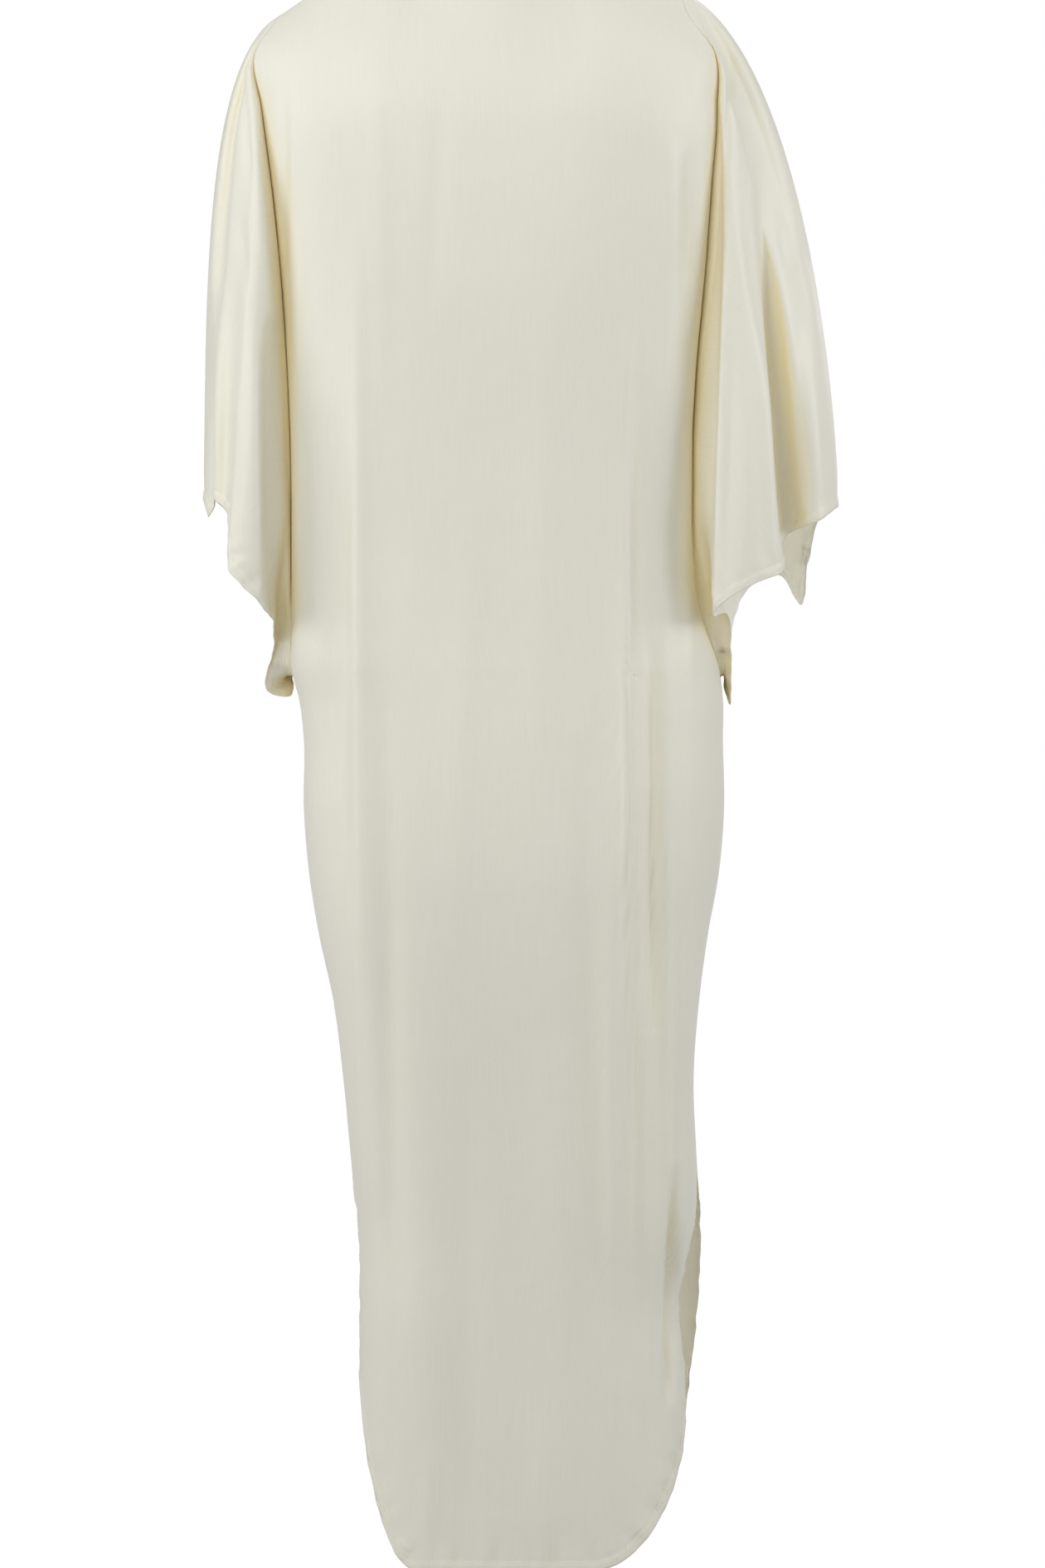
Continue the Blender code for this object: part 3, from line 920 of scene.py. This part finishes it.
@dataclass(frozen=True)
class WovenCloth:
    """Satin-faced viscose crepe: matt ivory yarns with a low soft sheen and a slight crinkle, with
    painted bounce light tinting its deep folds warmer and paler.
    """

    name: str = "woven_viscose_satin_crepe"
    open_colour: str = "e4e3d9"
    # Painted bounce light colours for half-deep and deep folds; open_colour is the cloth's own colour
    painted_half_bounce_colour: str = "eae3c8"
    painted_fold_bounce_colour: str = "f0e2b2"
    roughness: float = 0.5
    sheen: float = 0.25
    sheen_roughness: float = 0.4
    index: float = 1.5
    slub_width: float = 0.9
    slub_length: float = 60.0
    rib_spacing: float = 1.6
    rib_wander: float = 0.6
    crinkle_size: float = 22.0
    slub_tone: tuple[float, float] = (0.982, 1.013)
    drift_tone: tuple[float, float] = (0.985, 1.012)
    rib_depth: float = 0.2
    slub_depth: float = 0.3
    crinkle_depth: float = 1.5
    # Occlusion levels at which the painted bounce colours and the cloth's own colour sit
    painted_fold_bounce_share: float = 0.12
    painted_half_bounce_share: float = 0.5
    open_share: float = 0.92
    occlusion_reach: float = 35.0

    def material(self) -> bpy.types.Material:
        """Build the finish.

        Returns:
            The new material.
        """
        material = bpy.data.materials.new(self.name)
        material.use_nodes = True
        tree = material.node_tree
        shader = tree.nodes["Principled BSDF"]
        shader.inputs["Roughness"].default_value = self.roughness
        shader.inputs["Sheen Weight"].default_value = self.sheen
        shader.inputs["Sheen Roughness"].default_value = self.sheen_roughness
        shader.inputs["IOR"].default_value = self.index

        # Slubs: yarns a little thicker or paler, far longer down the cloth than across it
        uv = add_node(tree, "ShaderNodeUVMap", {"uv_map": "cloth"})
        stretch = add_node(tree, "ShaderNodeMapping", {
            "Scale": (1.0 / (self.slub_width * MM), 1.0 / (self.slub_length * MM), 1.0)},
            {"Vector": uv.outputs["UV"]})
        slub = add_node(tree, "ShaderNodeTexNoise", {"Scale": 1.0, "Detail": 2.0},
                        {"Vector": stretch.outputs[0]})
        tint = add_node(tree, "ShaderNodeTexNoise", {"Scale": 6.0, "Detail": 0.0},
                        {"Vector": uv.outputs["UV"]})

        # Painted bounce light: where ambient occlusion finds deep folds, the base colour is painted
        # warmer and paler, standing in for light bounced between folds of this cloth
        occlusion = add_node(tree, "ShaderNodeAmbientOcclusion", {
            "Distance": self.occlusion_reach * MM, "samples": 3})
        depth = add_node(tree, "ShaderNodeValToRGB", {}, {"Fac": occlusion.outputs["AO"]})
        ramp = depth.color_ramp
        ramp.elements[0].position = self.painted_fold_bounce_share
        ramp.elements[0].color = linear(self.painted_fold_bounce_colour)
        ramp.elements[1].position = self.open_share
        ramp.elements[1].color = linear(self.open_colour)
        middle = ramp.elements.new(self.painted_half_bounce_share)
        middle.color = linear(self.painted_half_bounce_colour)
        value = add_node(tree, "ShaderNodeMapRange", {
            "From Min": 0.3, "From Max": 0.7,
            "To Min": self.slub_tone[0], "To Max": self.slub_tone[1]},
            {"Value": slub.outputs["Fac"]})
        drift = add_node(tree, "ShaderNodeMapRange", {
            "From Min": 0.3, "From Max": 0.7,
            "To Min": self.drift_tone[0], "To Max": self.drift_tone[1]},
            {"Value": tint.outputs["Fac"]})
        both = add_node(tree, "ShaderNodeMath", {"operation": "MULTIPLY"},
                        {0: value.outputs[0], 1: drift.outputs[0]})
        colour = add_node(tree, "ShaderNodeVectorMath", {"operation": "SCALE"},
                          {0: depth.outputs["Color"], "Scale": both.outputs[0]})
        tree.links.new(colour.outputs[0], shader.inputs["Base Color"])

        # Ribs of the weave, drawn coarser than the real 0.3 mm so that they show, and crinkle
        rib_scale = 1.0 / (self.rib_spacing * MM) / 20.0 * 2.0 * math.pi
        rib = add_node(tree, "ShaderNodeTexWave", {
            "wave_type": "BANDS", "bands_direction": "X", "Scale": rib_scale,
            "Distortion": self.rib_wander},
            {"Vector": uv.outputs["UV"]})
        crinkle = add_node(tree, "ShaderNodeTexNoise", {
            "Scale": 1.0 / (self.crinkle_size * MM), "Detail": 2.0, "Roughness": 0.55},
            {"Vector": uv.outputs["UV"]})
        weave = add_node(tree, "ShaderNodeBump", {
            "Strength": 0.12, "Distance": self.rib_depth * MM},
                         {"Height": rib.outputs["Fac"]})
        yarns = add_node(tree, "ShaderNodeBump", {
            "Strength": 0.25, "Distance": self.slub_depth * MM},
                         {"Height": slub.outputs["Fac"], "Normal": weave.outputs[0]})
        creases = add_node(tree, "ShaderNodeBump", {
            "Strength": 0.35, "Distance": self.crinkle_depth * MM},
                           {"Height": crinkle.outputs["Fac"], "Normal": yarns.outputs[0]})
        tree.links.new(creases.outputs[0], shader.inputs["Normal"])
        return material


@dataclass(frozen=True)
class ClothInside:
    """The cloth's inner side: a painted glow, paler and warmer than the outer side's colour, stands
    in for daylight soaking through the thin weave; subsurface scattering adds some of it for real.
    """

    name: str = "cloth_inside_painted_through_glow"
    # Painted glow: paler and warmer than the outer side's own colour, though it is the same cloth
    colour: str = "fbf5e0"
    roughness: float = 0.6
    soak: float = 1.0
    spread: tuple[float, float, float] = (1.0, 0.93, 0.75)
    reach: float = 5.0

    def material(self) -> bpy.types.Material:
        """Build the finish.

        Returns:
            The new material.
        """
        material = bpy.data.materials.new(self.name)
        material.use_nodes = True
        shader = material.node_tree.nodes["Principled BSDF"]
        shader.inputs["Base Color"].default_value = linear(self.colour)
        shader.inputs["Roughness"].default_value = self.roughness
        shader.inputs["Subsurface Weight"].default_value = self.soak
        shader.inputs["Subsurface Radius"].default_value = self.spread
        shader.inputs["Subsurface Scale"].default_value = self.reach * MM
        return material


@dataclass(frozen=True)
class SewingThread:
    """Spun polyester thread: a little paler and shinier than the cloth it holds."""

    name: str = "spun_polyester_thread"
    colour: str = "efece2"
    roughness: float = 0.42
    twist: float = 0.5
    ply_depth: float = 0.1

    def material(self) -> bpy.types.Material:
        """Build the finish.

        Returns:
            The new material.
        """
        material = bpy.data.materials.new(self.name)
        material.use_nodes = True
        tree = material.node_tree
        shader = tree.nodes["Principled BSDF"]
        shader.inputs["Base Color"].default_value = linear(self.colour)
        shader.inputs["Roughness"].default_value = self.roughness
        place = add_node(tree, "ShaderNodeTexCoord")
        ply = add_node(tree, "ShaderNodeTexNoise", {"Scale": 1.0 / (self.twist * MM)},
                       {"Vector": place.outputs["Object"]})
        bump = add_node(tree, "ShaderNodeBump", {
            "Strength": 0.3, "Distance": self.ply_depth * MM},
                        {"Height": ply.outputs["Fac"]})
        tree.links.new(bump.outputs[0], shader.inputs["Normal"])
        return material


@dataclass
class Stitching:
    """Rows of lock stitches along the hems, made by Geometry Nodes."""

    name: str
    pitch: float = 3.2
    length: float = 2.3
    width: float = 0.5
    sides: int = 6
    rings: int = 4

    def tree(self, material: bpy.types.Material) -> bpy.types.NodeTree:
        """Build the node tree that sets a stitch at every pitch of a line.

        Args:
            material: the thread's finish.

        Returns:
            The tree, with the pitch, length and width as named inputs.
        """
        tree = bpy.data.node_groups.new(f"{self.name}_stitches", "GeometryNodeTree")
        face = tree.interface
        face.new_socket("Geometry", in_out="INPUT", socket_type="NodeSocketGeometry")
        for title, value in (("Pitch", self.pitch), ("Length", self.length),
                             ("Width", self.width)):
            socket = face.new_socket(title, in_out="INPUT", socket_type="NodeSocketFloat")
            socket.default_value = value * MM
        face.new_socket("Geometry", in_out="OUTPUT", socket_type="NodeSocketGeometry")
        given = add_node(tree, "NodeGroupInput")
        line = add_node(tree, "GeometryNodeMeshToCurve", {}, {"Mesh": given.outputs["Geometry"]})
        spots = add_node(tree, "GeometryNodeCurveToPoints", {"mode": "LENGTH"},
                         {"Curve": line.outputs["Curve"], "Length": given.outputs["Pitch"]})
        turned = add_node(tree, "FunctionNodeAlignRotationToVector", {"axis": "Z"},
                          {"Vector": spots.outputs["Tangent"]})
        radius = add_node(tree, "ShaderNodeMath", {"operation": "MULTIPLY", 1: 0.5},
                          {0: given.outputs["Width"]})
        shape = add_node(tree, "ShaderNodeMath", {"operation": "MULTIPLY", 1: 0.5},
                         {0: given.outputs["Length"]})
        ball = add_node(tree, "GeometryNodeMeshUVSphere",
                        {"Segments": self.sides, "Rings": self.rings, "Radius": 1.0})
        size = add_node(tree, "ShaderNodeCombineXYZ", {},
                        {"X": radius.outputs[0], "Y": radius.outputs[0], "Z": shape.outputs[0]})
        set_on = add_node(tree, "GeometryNodeInstanceOnPoints", {}, {
            "Points": spots.outputs["Points"], "Instance": ball.outputs["Mesh"],
            "Rotation": turned.outputs["Rotation"], "Scale": size.outputs[0]})
        real = add_node(tree, "GeometryNodeRealizeInstances", {},
                        {"Geometry": set_on.outputs["Instances"]})
        dressed = add_node(tree, "GeometryNodeSetMaterial", {"Material": material},
                           {"Geometry": real.outputs["Geometry"]})
        add_node(tree, "NodeGroupOutput", {}, {"Geometry": dressed.outputs["Geometry"]})
        return tree

    def build(self, lines: Iterable[np.ndarray], material: bpy.types.Material) -> bpy.types.Object:
        """Sew along some lines.

        Args:
            lines: lines of points on the cloth.
            material: the thread's finish.

        Returns:
            The stitches as one plain mesh.
        """
        points: list[list[float]] = []
        edges: list[tuple[int, int]] = []
        for line in lines:
            start = len(points)
            points.extend(((line + np.array([0.0, 0.0, ORIGIN_DROP])) * MM).tolist())
            edges.extend((start + i, start + i + 1) for i in range(len(line) - 1))
        path = bpy.data.meshes.new(self.name)
        path.from_pydata(points, edges, [])
        guide = bpy.data.objects.new(f"{self.name}_guide", path)
        bpy.context.scene.collection.objects.link(guide)
        modifier = guide.modifiers.new("stitches", "NODES")
        modifier.node_group = self.tree(material)
        sockets = {item.name: item.identifier for item in modifier.node_group.interface.items_tree
                   if item.in_out == "INPUT"}
        modifier[sockets["Pitch"]] = self.pitch * MM
        modifier[sockets["Length"]] = self.length * MM
        modifier[sockets["Width"]] = self.width * MM
        evaluated = guide.evaluated_get(bpy.context.evaluated_depsgraph_get())
        mesh = bpy.data.meshes.new_from_object(evaluated)
        mesh.shade_smooth()
        bpy.data.objects.remove(guide)
        piece = bpy.data.objects.new(self.name, mesh)
        bpy.context.scene.collection.objects.link(piece)
        return piece


LAMPS = (
    Lamp("key_above", (-1.1, -2.3, 1.0), (0.0, 0.0, -0.3), 1.3, 26.0, "fffdf8"),
    Lamp("side_left", (-2.6, -0.8, 0.3), (0.0, 0.0, -0.5), 1.4, 20.0, "fbfaf6"),
    Lamp("side_right", (2.6, -0.7, 0.6), (0.1, 0.0, -0.3), 1.4, 26.0, "fbfaf6"),
    Lamp("back_soft", (0.8, 2.8, 0.8), (0.0, 0.0, -0.6), 1.8, 24.0, "fbfaf6"),
)


@dataclass
class Studio:
    """A pale floor and backdrop, soft lights and the camera at the photograph's angle."""

    millimetres_per_pixel: float = 0.735
    frame_height_pixels: float = 1891.0
    shoulder_row: float = -60.0
    centre_column: float = 617.0
    frame_middle: tuple[float, float] = (630.0, 945.5)
    camera_distance: float = 6.5
    sensor: float = 36.0
    floor_gap: float = 0.05
    floor_size: float = 60.0
    dome_radius: float = 40.0
    farthest_seen: float = 200.0
    floor_glow: float = 0.965
    floor_bounce: float = 0.08
    surround_colour: str = "fbfaf6"
    surround_strength: float = 0.55

    def camera(self) -> None:
        """Aim a long lens level at the back, framed as the photograph is."""
        scale = self.millimetres_per_pixel * MM
        x = (self.frame_middle[0] - self.centre_column) * scale
        z = ORIGIN_DROP * MM - (self.frame_middle[1] - self.shoulder_row) * scale
        data = bpy.data.cameras.new("photo_camera")
        data.sensor_width = self.sensor
        data.lens = self.sensor * self.camera_distance / (self.frame_height_pixels * scale)
        data.clip_end = self.farthest_seen
        camera = bpy.data.objects.new("photo_camera", data)
        camera.location = (x, -self.camera_distance, z)
        camera.rotation_euler = (math.radians(90.0), 0.0, 0.0)
        bpy.context.scene.collection.objects.link(camera)
        bpy.context.scene.camera = camera

    def light(self, lamp: Lamp) -> None:
        """Add one square soft light.

        Args:
            lamp: what the light is and where it stands.
        """
        data = bpy.data.lights.new(lamp.name, "AREA")
        data.shape = "SQUARE"
        data.size = lamp.size
        data.energy = lamp.watts
        data.color = linear(lamp.colour)[:3]
        light = bpy.data.objects.new(lamp.name, data)
        light.location = lamp.place
        light.rotation_mode = "QUATERNION"
        direction = Vector(lamp.aim) - Vector(lamp.place)
        light.rotation_quaternion = direction.to_track_quat("-Z", "Y")
        bpy.context.scene.collection.objects.link(light)

    def glow(self, name: str, strength: float, share: float) -> bpy.types.Material:
        """Make a plain white stage finish that glows a little, so that it stays pale.

        Args:
            name: the finish's name.
            strength: how strongly it glows.
            share: how much light it sends back.

        Returns:
            The new material.
        """
        material = bpy.data.materials.new(name)
        material.use_nodes = True
        shader = material.node_tree.nodes["Principled BSDF"]
        shader.inputs["Base Color"].default_value = (share, share, share, 1.0)
        shader.inputs["Roughness"].default_value = 0.9
        shader.inputs["Specular IOR Level"].default_value = 0.0
        shader.inputs["Emission Color"].default_value = (1.0, 1.0, 1.0, 1.0)
        shader.inputs["Emission Strength"].default_value = strength
        return material

    def backdrop(self) -> None:
        """Lay a pale floor under the hem and set up a white dome that only the camera sees."""
        floor_z = CAD_BOX[0].z - self.floor_gap
        bpy.ops.mesh.primitive_plane_add(size=self.floor_size, location=(0.0, 0.0, floor_z))
        floor = bpy.context.object
        floor.name = "studio_floor"
        floor.data.materials.append(self.glow("matt_white_floor", self.floor_glow, self.floor_bounce))
        floor.visible_diffuse = False
        floor.visible_glossy = False
        bpy.ops.mesh.primitive_uv_sphere_add(segments=48, ring_count=24, radius=self.dome_radius)
        dome = bpy.context.object
        dome.name = "studio_dome"
        dome.data.materials.append(self.glow("white_backdrop", 1.0, 0.0))
        dome.visible_diffuse = False
        dome.visible_glossy = False
        dome.visible_shadow = False
        dome.visible_transmission = False

    def build(self) -> None:
        """Set up the stage, the lights, the camera and the view's colours."""
        self.backdrop()
        world = bpy.data.worlds.new("studio")
        world.use_nodes = True
        surround = world.node_tree.nodes["Background"]
        surround.inputs["Color"].default_value = linear(self.surround_colour)
        surround.inputs["Strength"].default_value = self.surround_strength
        bpy.context.scene.world = world
        for lamp in LAMPS:
            self.light(lamp)
        self.camera()
        scene = bpy.context.scene
        scene.view_settings.view_transform = "Standard"
        scene.view_settings.look = "None"


BACK_FOLDS = (
    Fold(250, 1120, -136, -126, 15, 5.0),
    Fold(400, 820, -156, -154, 13, -4.0),
    Fold(150, 520, 136, 140, 15, 5.0),
    Fold(340, 1240, 102, 100, 15, 4.5),
    Fold(380, 740, 108, 122, 13, -4.0),
    Fold(640, 960, 124, 128, 15, -5.0),
    Fold(600, 1200, 146, 142, 12, 4.0),
    Fold(640, 1380, -18, -6, 55, -4.0),
    Fold(860, 1400, -84, -66, 22, 4.0),
    Fold(960, 1400, 40, 52, 24, 3.5),
)
FRONT_FOLDS = (
    Fold(330, 1180, -118, -104, 17, 5.5),
    Fold(420, 1000, -146, -132, 14, -4.5),
    Fold(340, 1240, 96, 92, 17, 5.5),
    Fold(420, 980, 130, 122, 14, -4.5),
    Fold(520, 1380, -14, -4, 46, -6.0),
    Fold(640, 1400, -62, -52, 20, 4.5),
    Fold(700, 1400, 40, 46, 20, 4.0),
)
BACK_FINE_FOLDS = (
    Fold(250, 660, -187, -187, 7, 4.0),
    Fold(120, 300, -200, -199, 4, -3.0),
    Fold(140, 420, 173, 153, 7, 3.5),
    Fold(360, 660, 153, 156, 7, 4.0),
    Fold(100, 137, 150, 162, 3, -2.0),
    Fold(185, 300, 155, 157, 5, -3.0),
    Fold(185, 290, 141, 141, 6, 2.0),
    Fold(180, 198, -182, -178, 3, -1.0),
    Fold(240, 1130, -134, -130, 5, 2.8),
    Fold(420, 800, -145, -146, 5, -3.0),
    Fold(620, 1330, -128, -112, 7, 2.2),
    Fold(640, 1240, -108, -100, 8, -1.8),
    Fold(300, 1230, 101, 99, 4, 3.0),
    Fold(340, 1180, 109, 108, 5, -3.6),
    Fold(560, 1000, 122, 126, 5, -3.6),
    Fold(600, 1260, 134, 136, 5, 3.8),
    Fold(700, 1180, 62, 70, 11, -2.6),
    Fold(820, 1390, 84, 92, 7, 2.8),
    Fold(900, 1300, 116, 118, 6, 3.4),
    Fold(640, 1160, 147, 146, 4, -3.0),
    Fold(500, 900, -40, -48, 14, 1.6),
    Fold(300, 760, 30, 24, 16, 1.6),
    Fold(980, 1400, -40, -34, 12, -2.0),
    Fold(120, 330, -60, -70, 10, -1.2),
    Fold(90, 420, -118, -112, 9, 1.6),
    Fold(1075, 1285, 142, 139, 4.5, -15.0),
    Fold(1290, 1420, 20, 34, 9, 1.8),
    Fold(1320, 1425, -70, -76, 8, 1.6),
)
FRONT_FINE_FOLDS = (
    Fold(250, 660, -184, -186, 7, 4.0),
    Fold(140, 640, 168, 158, 7, 4.0),
    Fold(300, 900, -86, -76, 10, 1.8),
    Fold(420, 1100, 64, 60, 11, -1.8),
    Fold(760, 1390, -92, -84, 9, 2.0),
    Fold(860, 1380, 78, 88, 10, 2.0),
    Fold(200, 520, -30, -34, 14, 1.4),
    Fold(260, 620, 24, 30, 14, 1.4),
)
LEFT_HEM = (
    HemPoint(0.00, -274, 12, 486, 250),
    HemPoint(0.04, -270, -10, 503, 220),
    HemPoint(0.08, -264, -26, 493, 170),
    HemPoint(0.12, -260, -50, 489, 110),
    HemPoint(0.16, -251, -62, 498, 60),
    HemPoint(0.20, -248, -80, 516, 40),
    HemPoint(0.24, -248, -94, 547, 30),
    HemPoint(0.30, -236, -104, 565, 25),
    HemPoint(0.36, -218, -90, 584, 25),
    HemPoint(0.42, -206, -58, 597, 25),
    HemPoint(0.46, -209, -30, 616, 25),
    HemPoint(0.49, -218, -6, 654, 25),
    HemPoint(0.52, -197, 8, 661, 25),
    HemPoint(0.56, -202, 38, 634, 25),
    HemPoint(0.62, -205, 76, 590, 25),
    HemPoint(0.70, -226, 100, 556, 25),
    HemPoint(0.78, -242, 96, 530, 30),
    HemPoint(0.86, -248, 76, 508, 90),
    HemPoint(0.93, -262, 44, 488, 190),
)
RIGHT_HEM = (
    HemPoint(0.00, 290, 5, 492, 320),
    HemPoint(0.06, 284, -40, 497, 250),
    HemPoint(0.12, 268, -64, 509, 130),
    HemPoint(0.17, 246, -48, 518, 60),
    HemPoint(0.21, 238, -66, 536, 40),
    HemPoint(0.25, 238, -88, 551, 30),
    HemPoint(0.31, 213, -104, 564, 25),
    HemPoint(0.38, 186, -98, 580, 25),
    HemPoint(0.42, 178, -78, 592, 25),
    HemPoint(0.45, 191, -50, 592, 25),
    HemPoint(0.48, 194, -22, 638, 25),
    HemPoint(0.50, 194, 0, 667, 25),
    HemPoint(0.53, 191, 24, 652, 25),
    HemPoint(0.57, 194, 50, 620, 25),
    HemPoint(0.62, 202, 78, 582, 25),
    HemPoint(0.69, 222, 100, 556, 25),
    HemPoint(0.75, 244, 102, 553, 30),
    HemPoint(0.80, 260, 90, 578, 70),
    HemPoint(0.85, 265, 76, 540, 120),
    HemPoint(0.89, 271, 62, 508, 170),
    HemPoint(0.94, 282, 38, 495, 240),
)
LEFT_SLEEVE_BACK_FOLDS = (
    Fold(100, 330, -232, -212, 6, 2.5),
    Fold(105, 215, -238, -229, 5, -2.5),
    Fold(240, 310, -238, -232, 5, -2.0),
    Fold(290, 530, -256, -257, 5, 4.5),
    Fold(290, 520, -266, -266, 4, -5.5),
    Fold(340, 610, -226, -224, 6, 5.0),
    Fold(330, 620, -210, -206, 9, -10.0),
    Fold(420, 600, -242, -238, 7, -2.0),
    Fold(470, 600, -199, -198, 5, 4.0),
)
LEFT_SLEEVE_FRONT_FOLDS = (
    Fold(120, 420, -226, -214, 8, -4.0),
    Fold(180, 520, -240, -236, 8, 4.0),
    Fold(300, 560, -214, -210, 9, -6.0),
    Fold(330, 540, -250, -250, 6, -3.0),
)
RIGHT_SLEEVE_BACK_FOLDS = (
    Fold(86, 225, 195, 186, 4, -3.5),
    Fold(90, 260, 186, 187, 4, 2.5),
    Fold(200, 600, 211, 233, 6, 5.0),
    Fold(190, 560, 218, 245, 8, -9.0),
    Fold(240, 610, 189, 179, 5, 5.5),
    Fold(140, 600, 181, 166, 8, -9.0),
    Fold(132, 165, 225, 234, 3, -1.5),
    Fold(245, 285, 236, 243, 3, -1.5),
    Fold(245, 290, 252, 261, 3, -1.5),
    Fold(300, 490, 262, 270, 6, 2.5),
    Fold(330, 480, 252, 258, 5, -2.5),
    Fold(380, 560, 205, 206, 9, 1.8),
)
RIGHT_SLEEVE_FRONT_FOLDS = (
    Fold(110, 420, 204, 196, 8, -4.0),
    Fold(180, 540, 222, 226, 9, 4.5),
    Fold(260, 560, 206, 208, 9, -6.0),
    Fold(320, 520, 246, 250, 7, -4.0),
    Fold(360, 540, 262, 266, 6, 3.0),
)


@dataclass
class Kaftan:
    """The whole garment: what it is cut from and how its pieces are dressed."""

    figure: Figure
    back: Panel
    front: Panel
    sleeves: tuple[Sleeve, Sleeve]
    binding: NeckBinding
    hem: Hem

    def panel_cloth(self, panel: Panel) -> tuple[Cloth, Cloth, np.ndarray]:
        """Lay one panel's cloth, with and without its hem.

        Args:
            panel: the back or the front.

        Returns:
            The plain cloth, the cloth with the hem's relief, and the stitch line.
        """
        plain = panel.cloth(self.figure)
        edge = panel.free_edge(plain, self.figure)
        far, place = distance_to(plain.points, edge)
        hemmed = plain.raised(self.hem.relief(far, place))
        return plain, hemmed, self.hem.stitch_line(hemmed, edge, far)

    @staticmethod
    def declare(piece: bpy.types.Object, node: str, slot: str, cut: Cut, rests_on: list[str],
                stitches: bpy.types.Object | None) -> None:
        """Hang a piece of cloth and its stitches on the body, hide the CAD part it stands for and log
        its face count.

        Args:
            piece: the shell.
            node: the CAD node that it stands for.
            slot: the material slot of the record; not used.
            cut: the piece laid flat; not used.
            rests_on: names of what it hangs from; not used.
            stitches: the sewing on it, or None.
        """
        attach(piece, BODY)
        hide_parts(node)
        sewn = [] if stitches is None else [stitches]
        for thread in sewn:
            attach(thread, BODY)
        LOG.info("%s: %d faces", piece.name, len(piece.data.polygons))

    def build(self, finish: WovenCloth, inside: ClothInside, thread: SewingThread) -> None:
        """Build and dress every piece.

        Args:
            finish: the cloth's finish, with painted bounce light in its folds.
            inside: the finish of its inner side, with its painted glow.
            thread: the sewing thread's finish.
        """
        cloth = (finish.material(), inside.material())
        sewing = thread.material()
        plain_back, back, back_line = self.panel_cloth(self.back)
        plain_front, front, front_line = self.panel_cloth(self.front)
        for panel, shaped, line in ((self.back, back, back_line),
                                    (self.front, front, front_line)):
            even = np.full(shaped.points.shape[:2], panel.thickness)
            piece = shaped.shell(panel.name, even, cloth)
            stitches = Stitching(f"{panel.side.name.lower()}_hem_stitches").build([line], sewing)
            self.declare(piece, panel.node, f"{panel.side.name.lower()}_cloth", panel.cut,
                         [self.binding.node], stitches)
        for sleeve in self.sleeves:
            plain = sleeve.cloth(plain_back, plain_front, self.back.armhole_rows)
            edge = np.concatenate([plain.points[-1], plain.points[-1, :1]])
            far, place = distance_to(plain.points, edge)
            shaped = plain.raised(self.hem.relief(far, place))
            line = self.hem.stitch_line(shaped, edge, far)
            even = np.full(shaped.points.shape[:2], sleeve.thickness)
            piece = shaped.shell(sleeve.name, even, cloth)
            title = f"{sleeve.hand.name.lower()}_sleeve_hem_stitches"
            stitches = Stitching(title).build([line], sewing)
            self.declare(piece, sleeve.node, "sleeve_cloth", sleeve.cut,
                         [self.back.node, self.front.node], stitches)
        strip = self.binding.cloth(plain_back, plain_front, self.back)
        even = np.full(strip.points.shape[:2], self.binding.thickness)
        piece = strip.shell(self.binding.name, even, (cloth[0], cloth[0]))
        self.declare(piece, self.binding.node, "binding_cloth", self.binding.cut,
                     [self.back.node, self.front.node], None)


def main() -> None:
    """Build the garment and its studio, and log each piece's face count."""
    logging.basicConfig(level=logging.INFO, format="%(name)s: %(message)s")
    garment = Kaftan(
        figure=Figure(),
        back=Panel(
            Side.BACK, Cut(0.56, 1.48, 0.62), length=1427.0, neck_depth=58.0, neck_drop=24.0,
            shoulder_round=150.0, left_corner=Corner(42, 165), right_corner=Corner(78, 125),
            folds=BACK_FOLDS, fine_folds=BACK_FINE_FOLDS, slit_swing=17.0),
        front=Panel(
            Side.FRONT, Cut(0.56, 1.49, 0.62), length=1440.0, neck_depth=80.0, neck_drop=92.0,
            shoulder_round=170.0, left_corner=Corner(48, 170), right_corner=Corner(84, 150),
            folds=FRONT_FOLDS, fine_folds=FRONT_FINE_FOLDS),
        sleeves=(
            Sleeve(Hand.LEFT, Cut(0.66, 0.60, 0.14), LEFT_HEM, LEFT_SLEEVE_BACK_FOLDS,
                   LEFT_SLEEVE_FRONT_FOLDS),
            Sleeve(Hand.RIGHT, Cut(0.68, 0.63, 0.17), RIGHT_HEM, RIGHT_SLEEVE_BACK_FOLDS,
                   RIGHT_SLEEVE_FRONT_FOLDS)),
        binding=NeckBinding(),
        hem=Hem(),
    )
    garment.build(WovenCloth(), ClothInside(), SewingThread())
    Studio().build()
    LOG.info("sizes written")


if __name__ == "__main__":
    main()
